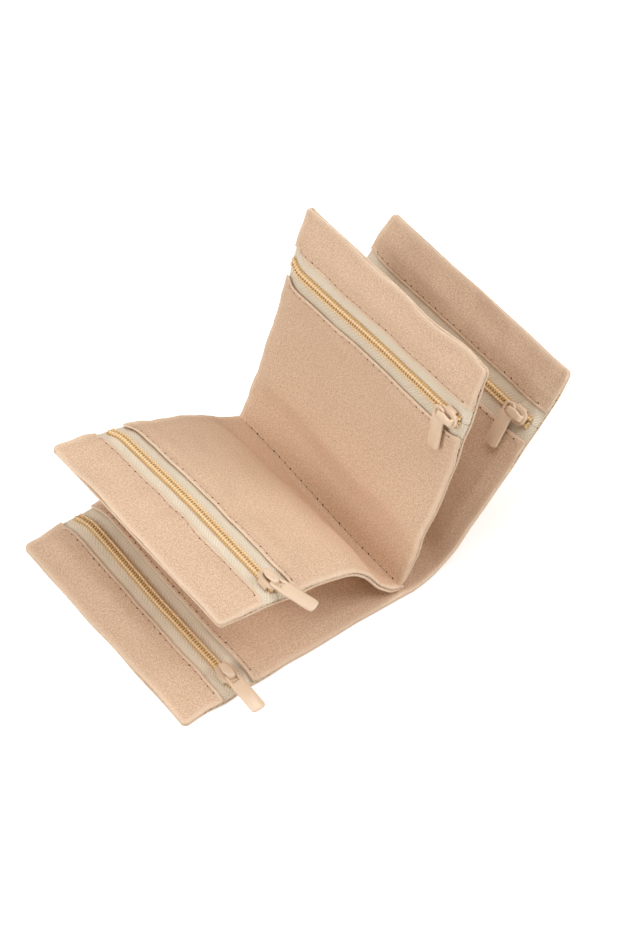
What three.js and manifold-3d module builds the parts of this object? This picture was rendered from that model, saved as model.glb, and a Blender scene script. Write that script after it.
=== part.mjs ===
// A soft book-fold jewelry organiser: four zipped cloth pockets sewn together along one spine.
// Two leaves are the covers, cut from one outer sheet, and two leaves are the pages between them.
// Millimetres, +Z up. X runs across the leaves, Y along the spine, and the outer sheet rests on Z = 0.

import * as THREE from 'three';
import { mergeVertices } from 'three/addons/utils/BufferGeometryUtils.js';
import Module from 'manifold-3d';

const wasm = await Module();
wasm.setup();

// Leaves
const leafLength = 125;
const coverWidth = 126;
const pageWidth = 121;
const cornerRadius = 3;
const clothThickness = 1;
const pocketRise = 2;
const sideRamp = 2.4;
const edgeRamp = 3;
const rootRamp = 8;
const layerGap = 0.3;

// How each leaf lies open: the direction it leaves the spine, then stretches of length and turn
const leftPageStart = 131;
const leftPageRise = 20;
const leftPageBend = 55;
const leftPageTurn = 36;
const rightPageStart = 68;
const rightPageRise = 12;
const rightPageBend = 40;
const rightPageTurn = 5;
const coverFlat = 2;
const coverBend = 27;
const coverTurn = 49;

// Spine
const stripLeft = 6;
const pageCrease = 12;
const hemSpread = 2.1;
const hemStack = 2.4;
const rootSeam = 4;
const foldGap = 0.5;
const spineStitchInset = 4.6;

// Zip: the chain's middle is set out from a leaf's free edge, and the folds beside it from the chain
const leftCoverChainInset = 29.5;
const leftPageChainInset = 32.5;
const rightPageChainInset = 30;
const rightCoverChainInset = 29.6;
const bandFoldReach = 8;
const panelFoldReach = 8;
const chainGap = 1.2;
const coilWidth = 2.4;
const coilHeight = 1.9;
const coilShoulder = 0.65;
const tapeWidth = 14.5;
const tapeThickness = 0.6;
const tapeGap = 0.15;
const foldLap = 3;

// Topstitching
const stitchInset = 2;
const threadWidth = 0.5;
const threadHeight = 0.35;
const threadGap = 0.1;
const threadEndInset = 4;

// Slider
const sliderLength = 11;
const sliderBackWidth = 7;
const sliderFrontWidth = 9.2;
const sliderPlate = 1.1;
const sliderLowerPlate = 1;
const sliderClearance = 0.3;
const flangeThickness = 0.8;
const flangeDrop = 1.5;
const flangeLength = 5.5;
const postLength = 3;
const archLength = 8.4;
const archBar = 1.2;
const archWidth = 1.5;
const archWindow = 2.4;
const archRound = 1.8;

// Pull tab
const tabLength = 23;
const tabWidth = 7;
const tabThickness = 1.6;
const tabEyeWidth = 5.4;
const tabEyeBar = 1.2;
const tabHoleLength = 3.4;
const tabHoleWidth = 3.2;
const tabShoulder = 6;
const tabEyeRound = 1.9;
const tabHoleRound = 0.7;
const tabFootRound = 1.4;
const tabBevel = 0.35;
const tabClearance = 0.45;
const legClearance = 0.6;
const liftTabDroop = 4.5;
const swingTabDroop = 5;
const leftCoverTabYaw = 0;
const leftPageTabYaw = 21;
const rightPageTabYaw = 86;
const rightCoverTabYaw = 86;

// How finely round shapes are stepped
const leafStep = 9;
const spineStep = 4.5;
const cornerAngles = [0, 36, 62, 78];
const noseAngles = [70, 37, 0];
const coilStations = [-1, -0.7, 0, 0.7, 1];
const plateArcSteps = 8;
const smallArcSteps = 4;

// Sizes that follow from the ones above
const rootThickness = 2 * clothThickness + layerGap;
const rootMiddle = rootThickness / 2;
const halfLength = leafLength / 2;
const pocketFloor = clothThickness + layerGap;
const tapeLow = pocketFloor + pocketRise;
const tapeHigh = tapeLow + tapeThickness;
const coilLow = tapeHigh + tapeGap;
const coilHigh = coilLow + coilHeight;
const plateLow = coilHigh + sliderClearance;
const plateHigh = plateLow + sliderPlate;
const lowerPlateHigh = tapeLow - sliderClearance;
const lowerPlateLow = lowerPlateHigh - sliderLowerPlate;
const archHigh = plateHigh + archWindow + archBar;
const tabLow = plateHigh + tabClearance;
const tabMiddle = tabLow + tabThickness / 2;
const legPlace = (archLength - archBar) / 2;
const sliderPlace = -halfLength + sideRamp + sliderClearance + sliderLength / 2;
const coverCrease = coverFlat + coverBend / 2;

// A leaf's line in the XZ plane, as straight and round stretches, with the side that its zip faces
class LeafLine {
  constructor({ x, z, direction, stretches, side }) {
    this.start = new THREE.Vector2(x, z);
    this.direction = THREE.MathUtils.degToRad(direction);
    this.stretches = stretches;
    this.side = side;
  }

  at(distance) {
    const point = this.start.clone();
    let angle = this.direction;
    let left = distance;
    for (const [length, turn] of [...this.stretches, [Infinity, 0]]) {
      const run = Math.min(left, length);
      const turned = turn ? THREE.MathUtils.degToRad(turn) * run / length : 0;
      const chord = turned ? run * Math.sin(turned / 2) / (turned / 2) : run;
      point.x += chord * Math.cos(angle + turned / 2);
      point.y += chord * Math.sin(angle + turned / 2);
      angle += turned;
      left -= run;
      if (left <= 0) break;
    }
    const along = new THREE.Vector2(Math.cos(angle), Math.sin(angle));
    const front = new THREE.Vector2(-along.y * this.side, along.x * this.side);
    return { point, along, front };
  }

  place(distance, y, height) {
    const { point, front } = this.at(distance);
    const rise = height - rootMiddle;
    return [point.x + front.x * rise, y, point.y + front.y * rise];
  }
}

const coverLine = new LeafLine({
  x: 0,
  z: rootMiddle,
  direction: 0,
  stretches: [[coverFlat, 0], [coverBend, coverTurn]],
  side: 1,
});
const hemHeight = rootThickness + layerGap + rootMiddle;
const leaves = {
  left_cover: {
    line: new LeafLine({ x: 0, z: rootMiddle, direction: 180, stretches: [], side: -1 }),
    root: stripLeft + layerGap,
    nose: false,
    width: coverWidth,
    chainInset: leftCoverChainInset,
    tab: { yaw: leftCoverTabYaw, lifts: true },
  },
  left_page: {
    line: new LeafLine({
      x: -hemSpread / 2,
      z: hemHeight,
      direction: leftPageStart,
      stretches: [[leftPageRise, 0], [leftPageBend, leftPageTurn]],
      side: -1,
    }),
    root: pageCrease,
    nose: true,
    width: pageWidth,
    chainInset: leftPageChainInset,
    tab: { yaw: leftPageTabYaw, lifts: true },
  },
  right_page: {
    line: new LeafLine({
      x: hemSpread / 2,
      z: hemHeight + hemStack,
      direction: rightPageStart,
      stretches: [[rightPageRise, 0], [rightPageBend, rightPageTurn]],
      side: 1,
    }),
    root: pageCrease,
    nose: true,
    width: pageWidth,
    chainInset: rightPageChainInset,
    tab: { yaw: rightPageTabYaw, lifts: false },
  },
  right_cover: {
    line: coverLine,
    root: coverCrease,
    nose: true,
    width: coverWidth,
    chainInset: rightCoverChainInset,
    tab: { yaw: rightCoverTabYaw, lifts: false },
  },
};

// Finishes
const finishes = {
  suede: { color: 0xe0bea0, roughness: 0.95, metalness: 0 },
  tape: { color: 0xdfd3b8, roughness: 0.9, metalness: 0 },
  coil: { color: 0xc9a262, roughness: 0.35, metalness: 0.6 },
  enamel: { color: 0xeec3a0, roughness: 0.35, metalness: 0 },
  thread: { color: 0xd8b191, roughness: 0.8, metalness: 0 },
};

const organiser = new THREE.Group();

function piece(name, geometry, finish, parent = organiser) {
  const mesh = new THREE.Mesh(geometry, new THREE.MeshStandardMaterial(finishes[finish]));
  mesh.name = name;
  parent.add(mesh);
}

// Values from one end to the other, with fixed ones between and no stretch longer than the step
function steps(from, to, fixed = [], step = leafStep) {
  const inside = fixed.filter((value) => value > from && value < to);
  const ends = [from, ...inside.sort((a, b) => a - b), to];
  const values = [from];
  for (let i = 1; i < ends.length; i += 1) {
    const count = Math.max(1, Math.ceil((ends[i] - ends[i - 1]) / step));
    for (let k = 1; k <= count; k += 1) {
      values.push(ends[i - 1] + (ends[i] - ends[i - 1]) * k / count);
    }
  }
  return values;
}

// A closed sheet along a leaf's line, between two heights that may change over it
function sheet(line, distances, insets, low, high, endInset = () => 0) {
  const places = [...insets.map((inset) => [-1, inset]), ...[...insets].reverse().map((inset) => [1, inset])];
  const columns = places.length;
  const position = [];
  for (const height of [low, high]) {
    for (const distance of distances) {
      for (const [end, inset] of places) {
        const y = end * (halfLength - inset - endInset(distance));
        position.push(...line.place(distance, y, height(distance, inset)));
      }
    }
  }
  const upper = distances.length * columns;
  const index = [];
  const quad = (a, b, c, d) => {
    const corners = line.side > 0 ? [a, b, c, a, c, d] : [a, c, b, a, d, c];
    index.push(...corners);
  };
  for (let i = 0; i + 1 < distances.length; i += 1) {
    for (let k = 0; k + 1 < columns; k += 1) {
      const a = i * columns + k;
      const b = a + columns;
      quad(a, a + 1, b + 1, b);
      quad(upper + a, upper + b, upper + b + 1, upper + a + 1);
    }
    const near = i * columns;
    const far = near + columns - 1;
    quad(near, near + columns, upper + near + columns, upper + near);
    quad(far + columns, far, upper + far, upper + far + columns);
  }
  for (let k = 0; k + 1 < columns; k += 1) {
    const last = upper - columns + k;
    quad(k + 1, k, upper + k, upper + k + 1);
    quad(last, last + 1, upper + last + 1, upper + last);
  }
  const geometry = new THREE.BufferGeometry();
  geometry.setAttribute('position', new THREE.Float32BufferAttribute(position, 3));
  geometry.setIndex(index);
  return geometry;
}

// A round nose about the line of a fold, as how much of the root's thickness is left there
function noseShare(distance) {
  const inset = Math.max(0, -distance / rootMiddle);
  return Math.sqrt(1 - inset * inset);
}

const sineOf = (angle) => Math.sin(THREE.MathUtils.degToRad(angle));
const noseStations = noseAngles.map((angle) => -rootMiddle * sineOf(angle));

// One zipped pocket leaf: cloth panels, zip tapes, coil rows, topstitching, slider and pull tab
function addLeaf(name, { line, root, nose, width, chainInset, tab }) {
  const chain = width - chainInset;
  const bandEdge = chain + bandFoldReach;
  const panelEdge = chain - panelFoldReach;
  const rootEnd = root + rootSeam;
  const panelRoot = rootEnd + layerGap;
  const tapeEdges = [chain - chainGap / 2 - tapeWidth, chain + chainGap / 2 + tapeWidth];
  const ramp = (value) => THREE.MathUtils.clamp(value, 0, 1);

  // Corner rounding, as how far the sides draw in near the free edge
  const corner = (distance) => {
    const into = Math.max(0, distance - (width - cornerRadius));
    return cornerRadius - Math.sqrt(Math.max(0, cornerRadius ** 2 - into ** 2));
  };
  const cornerStations = cornerAngles.map((angle) => width - cornerRadius * (1 - sineOf(angle)));
  const freeEdge = cornerStations.at(-1);
  const swell = (distance, inset) => pocketRise * ramp((distance - panelRoot) / rootRamp)
    * ramp((width - distance) / edgeRamp) * ramp(inset / sideRamp);
  const lap = (distance) => (tapeThickness + tapeGap)
    * ramp((distance - tapeEdges[0] + foldLap) / foldLap)
    * ramp((tapeEdges[1] + foldLap - distance) / foldLap);
  const frontLow = (distance, inset) => pocketFloor + swell(distance, inset) + lap(distance);
  const frontHigh = (distance, inset) => frontLow(distance, inset) + clothThickness;
  const lapStations = [tapeEdges[0] - foldLap, tapeEdges[0], tapeEdges[1], tapeEdges[1] + foldLap];

  const share = (distance) => (nose ? noseShare(distance - root) : 1);
  const backStart = nose ? noseStations.map((station) => root + station) : [root];
  const backStations = steps(backStart.at(-1), freeEdge, [rootEnd, panelRoot, ...cornerStations]);
  piece(`${name}_back_panel`, sheet(
    line,
    [...backStart.slice(0, -1), ...backStations],
    [0],
    (distance) => rootMiddle * (1 - share(distance)),
    (distance) => (distance <= rootEnd ? rootMiddle * (1 + share(distance)) : clothThickness),
    corner,
  ), 'suede');
  piece(`${name}_front_panel`, sheet(
    line,
    steps(panelRoot, panelEdge, [panelRoot + rootRamp, ...lapStations]),
    [0, sideRamp],
    frontLow,
    frontHigh,
  ), 'suede');
  piece(`${name}_edge_band`, sheet(
    line,
    steps(bandEdge, freeEdge, [width - edgeRamp, ...lapStations, ...cornerStations]),
    [0, sideRamp],
    frontLow,
    frontHigh,
    corner,
  ), 'suede');

  for (const [label, side] of [['inner', -1], ['outer', 1]]) {
    const meeting = chain + side * chainGap / 2;
    const tapeSpan = [meeting, meeting + side * tapeWidth].sort((a, b) => a - b);
    const tapeHeight = (distance, inset) => pocketFloor + swell(distance, inset);
    piece(`${name}_zip_tape_${label}`, sheet(
      line,
      steps(...tapeSpan),
      [0, sideRamp],
      tapeHeight,
      (distance, inset) => tapeHeight(distance, inset) + tapeThickness,
    ), 'tape');

    const coilMiddle = meeting + side * coilWidth / 2;
    const coilBase = (distance, inset) => tapeHeight(distance, inset) + tapeThickness + tapeGap;
    const crown = (distance) => {
      const across = (distance - coilMiddle) / (coilWidth / 2);
      return coilShoulder + (coilHeight - coilShoulder) * Math.sqrt(Math.max(0, 1 - across * across));
    };
    piece(`${name}_zip_coil_${label}`, sheet(
      line,
      coilStations.map((across) => coilMiddle + across * coilWidth / 2),
      [0, sideRamp],
      coilBase,
      (distance, inset) => coilBase(distance, inset) + crown(distance),
    ), 'coil');

    const rowMiddle = side < 0 ? panelEdge - stitchInset : bandEdge + stitchInset;
    piece(`${name}_topstitch_${label}`, sheet(
      line,
      [rowMiddle - threadWidth / 2, rowMiddle + threadWidth / 2],
      [threadEndInset],
      (distance, inset) => frontHigh(distance, inset) + threadGap,
      (distance, inset) => frontHigh(distance, inset) + threadGap + threadHeight,
    ), 'thread');
  }

  addSlider(name, line, chain, tab);
}

// A closed geometry as a solid that can be joined and cut
function solidOf(geometry) {
  const bare = geometry.clone();
  bare.deleteAttribute('normal');
  bare.deleteAttribute('uv');
  const merged = mergeVertices(bare);
  return new wasm.Manifold(new wasm.Mesh({
    numProp: 3,
    vertProperties: new Float32Array(merged.attributes.position.array),
    triVerts: new Uint32Array(merged.index.array),
  }));
}

function geometryOf(solid) {
  const mesh = solid.getMesh();
  const geometry = new THREE.BufferGeometry();
  geometry.setAttribute('position', new THREE.Float32BufferAttribute(mesh.vertProperties, 3));
  geometry.setIndex(Array.from(mesh.triVerts));
  return geometry;
}

function box(width, length, height, x, y, z) {
  return new THREE.BoxGeometry(width, length, height).translate(x, y, z);
}

// The slider's plate seen from above: square at the back, wider with round shoulders at the front
function plateOutline() {
  const back = sliderLength / 2;
  const shoulder = back - sliderFrontWidth / 2;
  const outline = new THREE.Shape();
  outline.moveTo(-sliderBackWidth / 2, back);
  outline.lineTo(-sliderFrontWidth / 2, -shoulder);
  outline.absarc(0, -shoulder, sliderFrontWidth / 2, Math.PI, 2 * Math.PI, false);
  outline.lineTo(sliderBackWidth / 2, back);
  outline.closePath();
  return outline;
}

function plate(low, high) {
  const options = { depth: high - low, bevelEnabled: false, curveSegments: plateArcSteps };
  return new THREE.ExtrudeGeometry(plateOutline(), options).translate(0, 0, low);
}

// The arch that the pull tab's eye goes through, drawn in the YZ plane
function arch() {
  const outline = new THREE.Shape();
  const far = archLength / 2;
  outline.moveTo(-far, plateHigh - sliderPlate / 2);
  outline.lineTo(far, plateHigh - sliderPlate / 2);
  outline.lineTo(far, archHigh - archRound);
  outline.absarc(far - archRound, archHigh - archRound, archRound, 0, Math.PI / 2, false);
  outline.absarc(-far + archRound, archHigh - archRound, archRound, Math.PI / 2, Math.PI, false);
  outline.closePath();
  const opening = new THREE.Path();
  opening.moveTo(-far + archBar, plateHigh);
  opening.lineTo(-far + archBar, archHigh - archBar);
  opening.lineTo(far - archBar, archHigh - archBar);
  opening.lineTo(far - archBar, plateHigh);
  opening.closePath();
  outline.holes.push(opening);
  const options = { depth: archWidth, bevelEnabled: false, curveSegments: smallArcSteps };
  const geometry = new THREE.ExtrudeGeometry(outline, options).translate(0, 0, -archWidth / 2);
  return geometry.applyMatrix4(new THREE.Matrix4().makeBasis(
    new THREE.Vector3(0, 1, 0),
    new THREE.Vector3(0, 0, 1),
    new THREE.Vector3(1, 0, 0),
  ));
}

function sliderGeometry() {
  const postWidth = chainGap - 2 * sliderClearance;
  const overlap = sliderPlate / 2;
  const postLow = lowerPlateHigh - overlap;
  const postHigh = plateLow + overlap;
  const postPlace = -sliderLength / 2 + postLength;
  const flangeLow = plateLow - flangeDrop;
  const flangeHigh = plateLow + overlap;
  const channel = chainGap + 2 * coilWidth + 2 * sliderClearance;
  const flangeSpan = channel + 2 * flangeThickness;
  const flangeHeight = flangeHigh - flangeLow;
  const flangeMiddle = (flangeLow + flangeHigh) / 2;
  // The cut for the channel runs past both ends of the rails and stops at the top plate
  const inside = box(channel, 2 * flangeLength, flangeDrop, 0, 0, flangeLow + flangeDrop / 2);
  const outside = box(flangeSpan, flangeLength, flangeHeight, 0, 0, flangeMiddle);
  const parts = [
    plate(plateLow, plateHigh),
    plate(lowerPlateLow, lowerPlateHigh),
    box(postWidth, postLength, postHigh - postLow, 0, postPlace, (postLow + postHigh) / 2),
    arch(),
  ].map(solidOf);
  const rails = solidOf(plate(flangeLow, flangeHigh)).intersect(solidOf(outside)).subtract(solidOf(inside));
  return geometryOf(parts.reduce((whole, part) => whole.add(part), rails));
}

// The pull tab lies along -Y, with its eye's hole centred on the origin
function tabGeometry() {
  const eye = tabEyeWidth / 2;
  const bar = tabWidth / 2;
  const top = tabHoleLength / 2 + tabEyeBar;
  const outline = new THREE.Shape();
  outline.moveTo(-eye, top - tabEyeRound);
  outline.quadraticCurveTo(-eye, top, -eye + tabEyeRound, top);
  outline.lineTo(eye - tabEyeRound, top);
  outline.quadraticCurveTo(eye, top, eye, top - tabEyeRound);
  outline.lineTo(bar, top - tabShoulder);
  outline.lineTo(bar, top - tabLength + tabFootRound);
  outline.quadraticCurveTo(bar, top - tabLength, bar - tabFootRound, top - tabLength);
  outline.lineTo(-bar + tabFootRound, top - tabLength);
  outline.quadraticCurveTo(-bar, top - tabLength, -bar, top - tabLength + tabFootRound);
  outline.lineTo(-bar, top - tabShoulder);
  outline.closePath();
  const hole = new THREE.Path();
  const side = tabHoleWidth / 2;
  const end = tabHoleLength / 2;
  hole.moveTo(-side, -end);
  hole.lineTo(side, -end);
  hole.lineTo(side, end - tabHoleRound);
  hole.quadraticCurveTo(side, end, side - tabHoleRound, end);
  hole.lineTo(-side + tabHoleRound, end);
  hole.quadraticCurveTo(-side, end, -side, end - tabHoleRound);
  hole.closePath();
  outline.holes.push(hole);
  const options = {
    depth: tabThickness - 2 * tabBevel,
    bevelEnabled: true,
    bevelThickness: tabBevel,
    bevelSize: tabBevel,
    bevelOffset: -tabBevel,
    bevelSegments: 1,
    curveSegments: smallArcSteps,
  };
  return new THREE.ExtrudeGeometry(outline, options).translate(0, 0, tabBevel - tabThickness / 2);
}

// A slider closed at the near end of its zip, with its tab turned by its yaw towards the spine
function addSlider(name, line, chain, { yaw, lifts }) {
  const { point, along, front } = line.at(chain);
  const across = along.clone().multiplyScalar(line.side);
  const seat = new THREE.Group();
  const basis = new THREE.Matrix4().makeBasis(
    new THREE.Vector3(across.x, 0, across.y),
    new THREE.Vector3(0, 1, 0),
    new THREE.Vector3(front.x, 0, front.y),
  );
  seat.setRotationFromMatrix(basis);
  seat.position.set(point.x - front.x * rootMiddle, sliderPlace, point.y - front.y * rootMiddle);
  organiser.add(seat);
  piece(`${name}_slider`, sliderGeometry(), 'enamel', seat);

  // A leg of the arch goes through the tab's eye. A tab that lifts turns about the bar at the end of its
  // eye, which lies behind the front leg, and a tab that hangs swings about the back leg itself.
  const barReach = lifts ? archBar / 2 + legClearance + tabEyeBar / 2 : 0;
  const turned = new THREE.Group();
  turned.position.set(0, lifts ? barReach / 2 - legPlace : legPlace, tabMiddle);
  turned.rotation.z = THREE.MathUtils.degToRad(-line.side * yaw);
  seat.add(turned);
  const hinge = new THREE.Group();
  hinge.position.y = barReach / 2;
  hinge.rotation.x = THREE.MathUtils.degToRad(lifts ? liftTabDroop : swingTabDroop);
  turned.add(hinge);
  const tab = new THREE.Group();
  tab.position.y = lifts ? -(tabHoleLength + tabEyeBar) / 2 : 0;
  hinge.add(tab);
  piece(`${name}_pull_tab`, tabGeometry(), 'enamel', tab);
}

// Where the cloth before a crease ends, clear of the round nose of the leaf that turns there
const endBefore = (crease) => crease - rootMiddle - foldGap;

// The flat middle of the outer sheet, which every leaf is sewn to
piece('spine_strip', sheet(
  coverLine,
  [-stripLeft, ...steps(coverFlat, endBefore(coverCrease), [], spineStep)],
  [0],
  () => 0,
  () => rootThickness,
), 'suede');

// The sewn root of each page
for (const name of ['left_page', 'right_page']) {
  const stations = [...noseStations, endBefore(pageCrease)];
  piece(`${name}_hem`, sheet(
    leaves[name].line,
    stations,
    [0],
    (distance) => rootMiddle * (1 - noseShare(distance)),
    (distance) => rootMiddle * (1 + noseShare(distance)),
  ), 'suede');
}

piece('spine_stitch', sheet(
  leaves.left_page.line,
  [spineStitchInset - threadWidth / 2, spineStitchInset + threadWidth / 2],
  [threadEndInset],
  () => rootThickness + threadGap,
  () => rootThickness + threadGap + threadHeight,
), 'thread');

for (const [name, leaf] of Object.entries(leaves)) {
  addLeaf(name, leaf);
}

export default organiser;
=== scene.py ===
"""Looks of a zipped book-fold jewelry organiser: suede leaves, zips, stitching, sliders and pull tabs."""
import math

import bpy
import numpy as np
from mathutils import Matrix, Vector


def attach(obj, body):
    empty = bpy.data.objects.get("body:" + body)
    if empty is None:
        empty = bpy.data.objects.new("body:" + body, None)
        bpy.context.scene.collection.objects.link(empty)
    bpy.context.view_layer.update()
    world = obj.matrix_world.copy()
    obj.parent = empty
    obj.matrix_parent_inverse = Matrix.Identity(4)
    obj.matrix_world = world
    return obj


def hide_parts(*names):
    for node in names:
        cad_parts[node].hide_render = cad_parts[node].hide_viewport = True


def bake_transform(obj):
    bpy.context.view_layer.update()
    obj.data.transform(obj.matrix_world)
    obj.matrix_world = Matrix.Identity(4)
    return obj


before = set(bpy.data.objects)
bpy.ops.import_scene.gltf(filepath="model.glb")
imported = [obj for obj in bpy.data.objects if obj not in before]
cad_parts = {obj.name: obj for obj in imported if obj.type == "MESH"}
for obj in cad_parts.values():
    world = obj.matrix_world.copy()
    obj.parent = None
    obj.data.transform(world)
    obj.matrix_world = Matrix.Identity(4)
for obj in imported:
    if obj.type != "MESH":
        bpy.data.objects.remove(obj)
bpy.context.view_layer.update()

bl_info = {
    "name": "Zipped jewelry organiser",
    "version": (1, 0, 0),
    "blender": (4, 5, 0),
    "location": "View3D > Sidebar > Organiser",
    "description": "Dresses a book-fold jewelry organiser in suede, zips and stitching",
    "category": "Object",
}

MM = 0.001
CLOTH_MAP = "cloth"
MAP_SPAN = 100 * MM
# Point attribute holding how much painted highlight the cloth gets along its folded edges, where the
# rounded lips face the light
EDGE_HIGHLIGHT = "worn_edge"


# Settings

def length(millimetres, label, text):
    return bpy.props.FloatProperty(
        name=label, description=text, default=millimetres * MM, unit="LENGTH", precision=5)


def turn(degrees, label, text):
    return bpy.props.FloatProperty(
        name=label, description=text, default=math.radians(degrees), subtype="ANGLE")


def amount(value, label, text):
    return bpy.props.FloatProperty(name=label, description=text, default=value)


def colour(red, green, blue, label, text):
    return bpy.props.FloatVectorProperty(
        name=label, description=text, default=(red, green, blue), size=3, min=0, max=1, subtype="COLOR")


class LeafSettings(bpy.types.PropertyGroup):
    """How the leaves are cut and how each lies open."""
    leaf_length: length(125, "Leaf length", "Along the spine")
    cover_width: length(126, "Cover width", "From the spine to a cover's free edge")
    page_width: length(121, "Page width", "From the spine to a page's free edge")
    corner_round: length(3, "Corner round", "Radius of the free corners")
    cloth: length(1.1, "Cloth", "Thickness of the suede")
    root: length(2.3, "Root", "Thickness of two cloths where they are sewn together")
    pocket_floor: length(1.3, "Pocket floor", "Height of the pocket's inside over the leaf's back face")
    pocket_rise: length(2, "Pocket rise", "How far the front cloth stands off the back cloth")
    page_spread: length(2.1, "Page spread", "Distance across between the two pages' roots")
    page_height: length(3.75, "Page height", "Height of the left page's root over the table")
    page_stack: length(2.4, "Page stack", "How far the right page's root lies over the left one's")
    page_crease: length(12, "Page crease", "Distance from the spine at which a page turns")
    page_tuck: length(1.2, "Page tuck", "How far a page's cloth reaches past its seam")
    cover_flat: length(2, "Cover flat", "Flat stretch of the outer sheet right of the spine")
    cover_bend: length(27, "Cover bend", "Length over which the right cover bends up")
    cover_turn: turn(49, "Cover turn", "How far the right cover bends up")
    left_page_start: turn(131, "Left page start", "Direction in which the left page leaves the spine")
    left_page_rise: length(20, "Left page rise", "Straight stretch of the left page at the spine")
    left_page_bend: length(55, "Left page bend", "Length over which the left page bends over")
    left_page_turn: turn(36, "Left page turn", "How far the left page bends over")
    right_page_start: turn(68, "Right page start", "Direction in which the right page leaves the spine")
    right_page_rise: length(12, "Right page rise", "Straight stretch of the right page at the spine")
    right_page_bend: length(40, "Right page bend", "Length over which the right page bends")
    right_page_turn: turn(5, "Right page turn", "How far the right page bends")


class ClothSettings(bpy.types.PropertyGroup):
    """How the cloth swells, sags and puckers."""
    slack: length(0.9, "Slack", "Broad unevenness of the front cloth")
    crumple: length(0.15, "Crumple", "Small unevenness of the front cloth")
    drawn: length(0.7, "Drawn in", "Depth of the dents beside the zip's stitching")
    needle_dip: length(0.26, "Needle dip", "Depth of the dip at a needle hole")
    gather: length(0.2, "Gather", "Depth of the gathers along the sewn sides")
    lip: length(0.5, "Lip", "How much thicker the cloth is where it is turned in at the sides")
    fold_lift: length(0.7, "Fold lift", "How far a panel's fold stands off the tape")
    gape: length(0.55, "Gape", "How much further the fold stands off towards its far end")
    edge_wave: length(0.35, "Edge wave", "How far a free edge strays from straight")
    side_wave: length(0.4, "Side wave", "How far a side strays from straight")
    curl: length(1.6, "Curl", "How far the far end of a zip curls outwards")
    # Painted highlight: width of the paler strip painted along the folded edges
    painted_highlight: length(1.5, "Worn strip", "Width of the worn strip along an edge")
    seam_aside: length(1.2, "Seam aside", "How far left of the spine's middle the pages' seam starts")
    seam_skew: length(3, "Seam skew", "How much further left the seam lies at its near end")
    seam_sink: length(1.8, "Seam sink", "How far the right page is pressed down along the seam")
    left_dip: length(2.1, "Left page dip", "How far the left page dips beside the seam")
    left_hump: length(1.5, "Left page hump", "How far the left page humps at its near end")
    left_sag: length(7.6, "Left page sag", "How far the left page sags at its far end")
    right_curve: length(2.8, "Right page curve", "How far the right page curves up from the seam")
    right_wave: length(0.8, "Right page wave", "How far the right page's free edge waves forwards")
    right_droop: length(1.6, "Right page droop", "How far the right page's near corner hangs back")
    left_belly: length(2.9, "Left belly", "How far the left cover's near side bows out at the spine")
    right_belly: length(1.76, "Right belly", "How far the right cover's near side bows out")
    right_root_belly: length(1.14, "Right root belly", "How much further it bows out at the spine")


class ZipSettings(bpy.types.PropertyGroup):
    """The zip of each leaf, set out from the leaf's free edge."""
    left_cover_inset: length(29.5, "Left cover inset", "From the chain's middle to the free edge")
    left_page_inset: length(32.5, "Left page inset", "From the chain's middle to the free edge")
    right_page_inset: length(30, "Right page inset", "From the chain's middle to the free edge")
    right_cover_inset: length(29.6, "Right cover inset", "From the chain's middle to the free edge")
    fold_reach: length(8, "Fold reach", "Distance of the cloth's folds from the chain's middle")
    gap: length(0.15, "Tape gap", "Distance between the two tapes")
    tape_width: length(14.5, "Tape width", "Width of each tape")
    tape: length(0.6, "Tape", "Thickness of a tape")
    pitch: length(3, "Pitch", "Distance from one coil loop to the next in a row")
    wire: length(0.78, "Wire", "Thickness of the coil's wire")
    strand: length(1.4, "Strand", "Thickness of the cord that covers the coil's legs")
    strand_place: length(1.32, "Strand place", "Distance of each cord from the chain's middle")
    strand_height: length(1.3, "Strand height", "Height of each cord's middle over the tape")
    core: length(0.9, "Core", "Thickness of the filler cord inside each coil")
    core_inset: length(0.85, "Core inset", "How far the filler cord lies inside the covering cord")
    core_height: length(1.1, "Core height", "Height of the filler cord's middle over the tape")
    edge_outset: length(0.72, "Edge outset", "How far the edge thread lies outside the covering cord")
    edge_height: length(0.5, "Edge height", "Height of the edge thread's middle over the tape")
    parting: length(0.6, "Parting", "How far each row stands off past the slider")
    coil_room: length(6.6, "Coil room", "Width of the channel through the slider")


class StitchSettings(bpy.types.PropertyGroup):
    """Topstitching and seam stitching."""
    inset: length(2, "Inset", "Distance of a topstitch row from its fold")
    pitch: length(4.4, "Pitch", "Length of one stitch")
    seam_pitch: length(3.1, "Seam pitch", "Length of one stitch in a side seam")
    thread: length(0.4, "Thread", "Thickness of the thread")
    hole: length(1.4, "Needle hole", "Length of the hole at the end of a stitch")
    slant: turn(14, "Slant", "How far the holes turn out of their row")
    end_inset: length(3.5, "End inset", "Distance of a row's ends from the leaf's sides")


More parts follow.
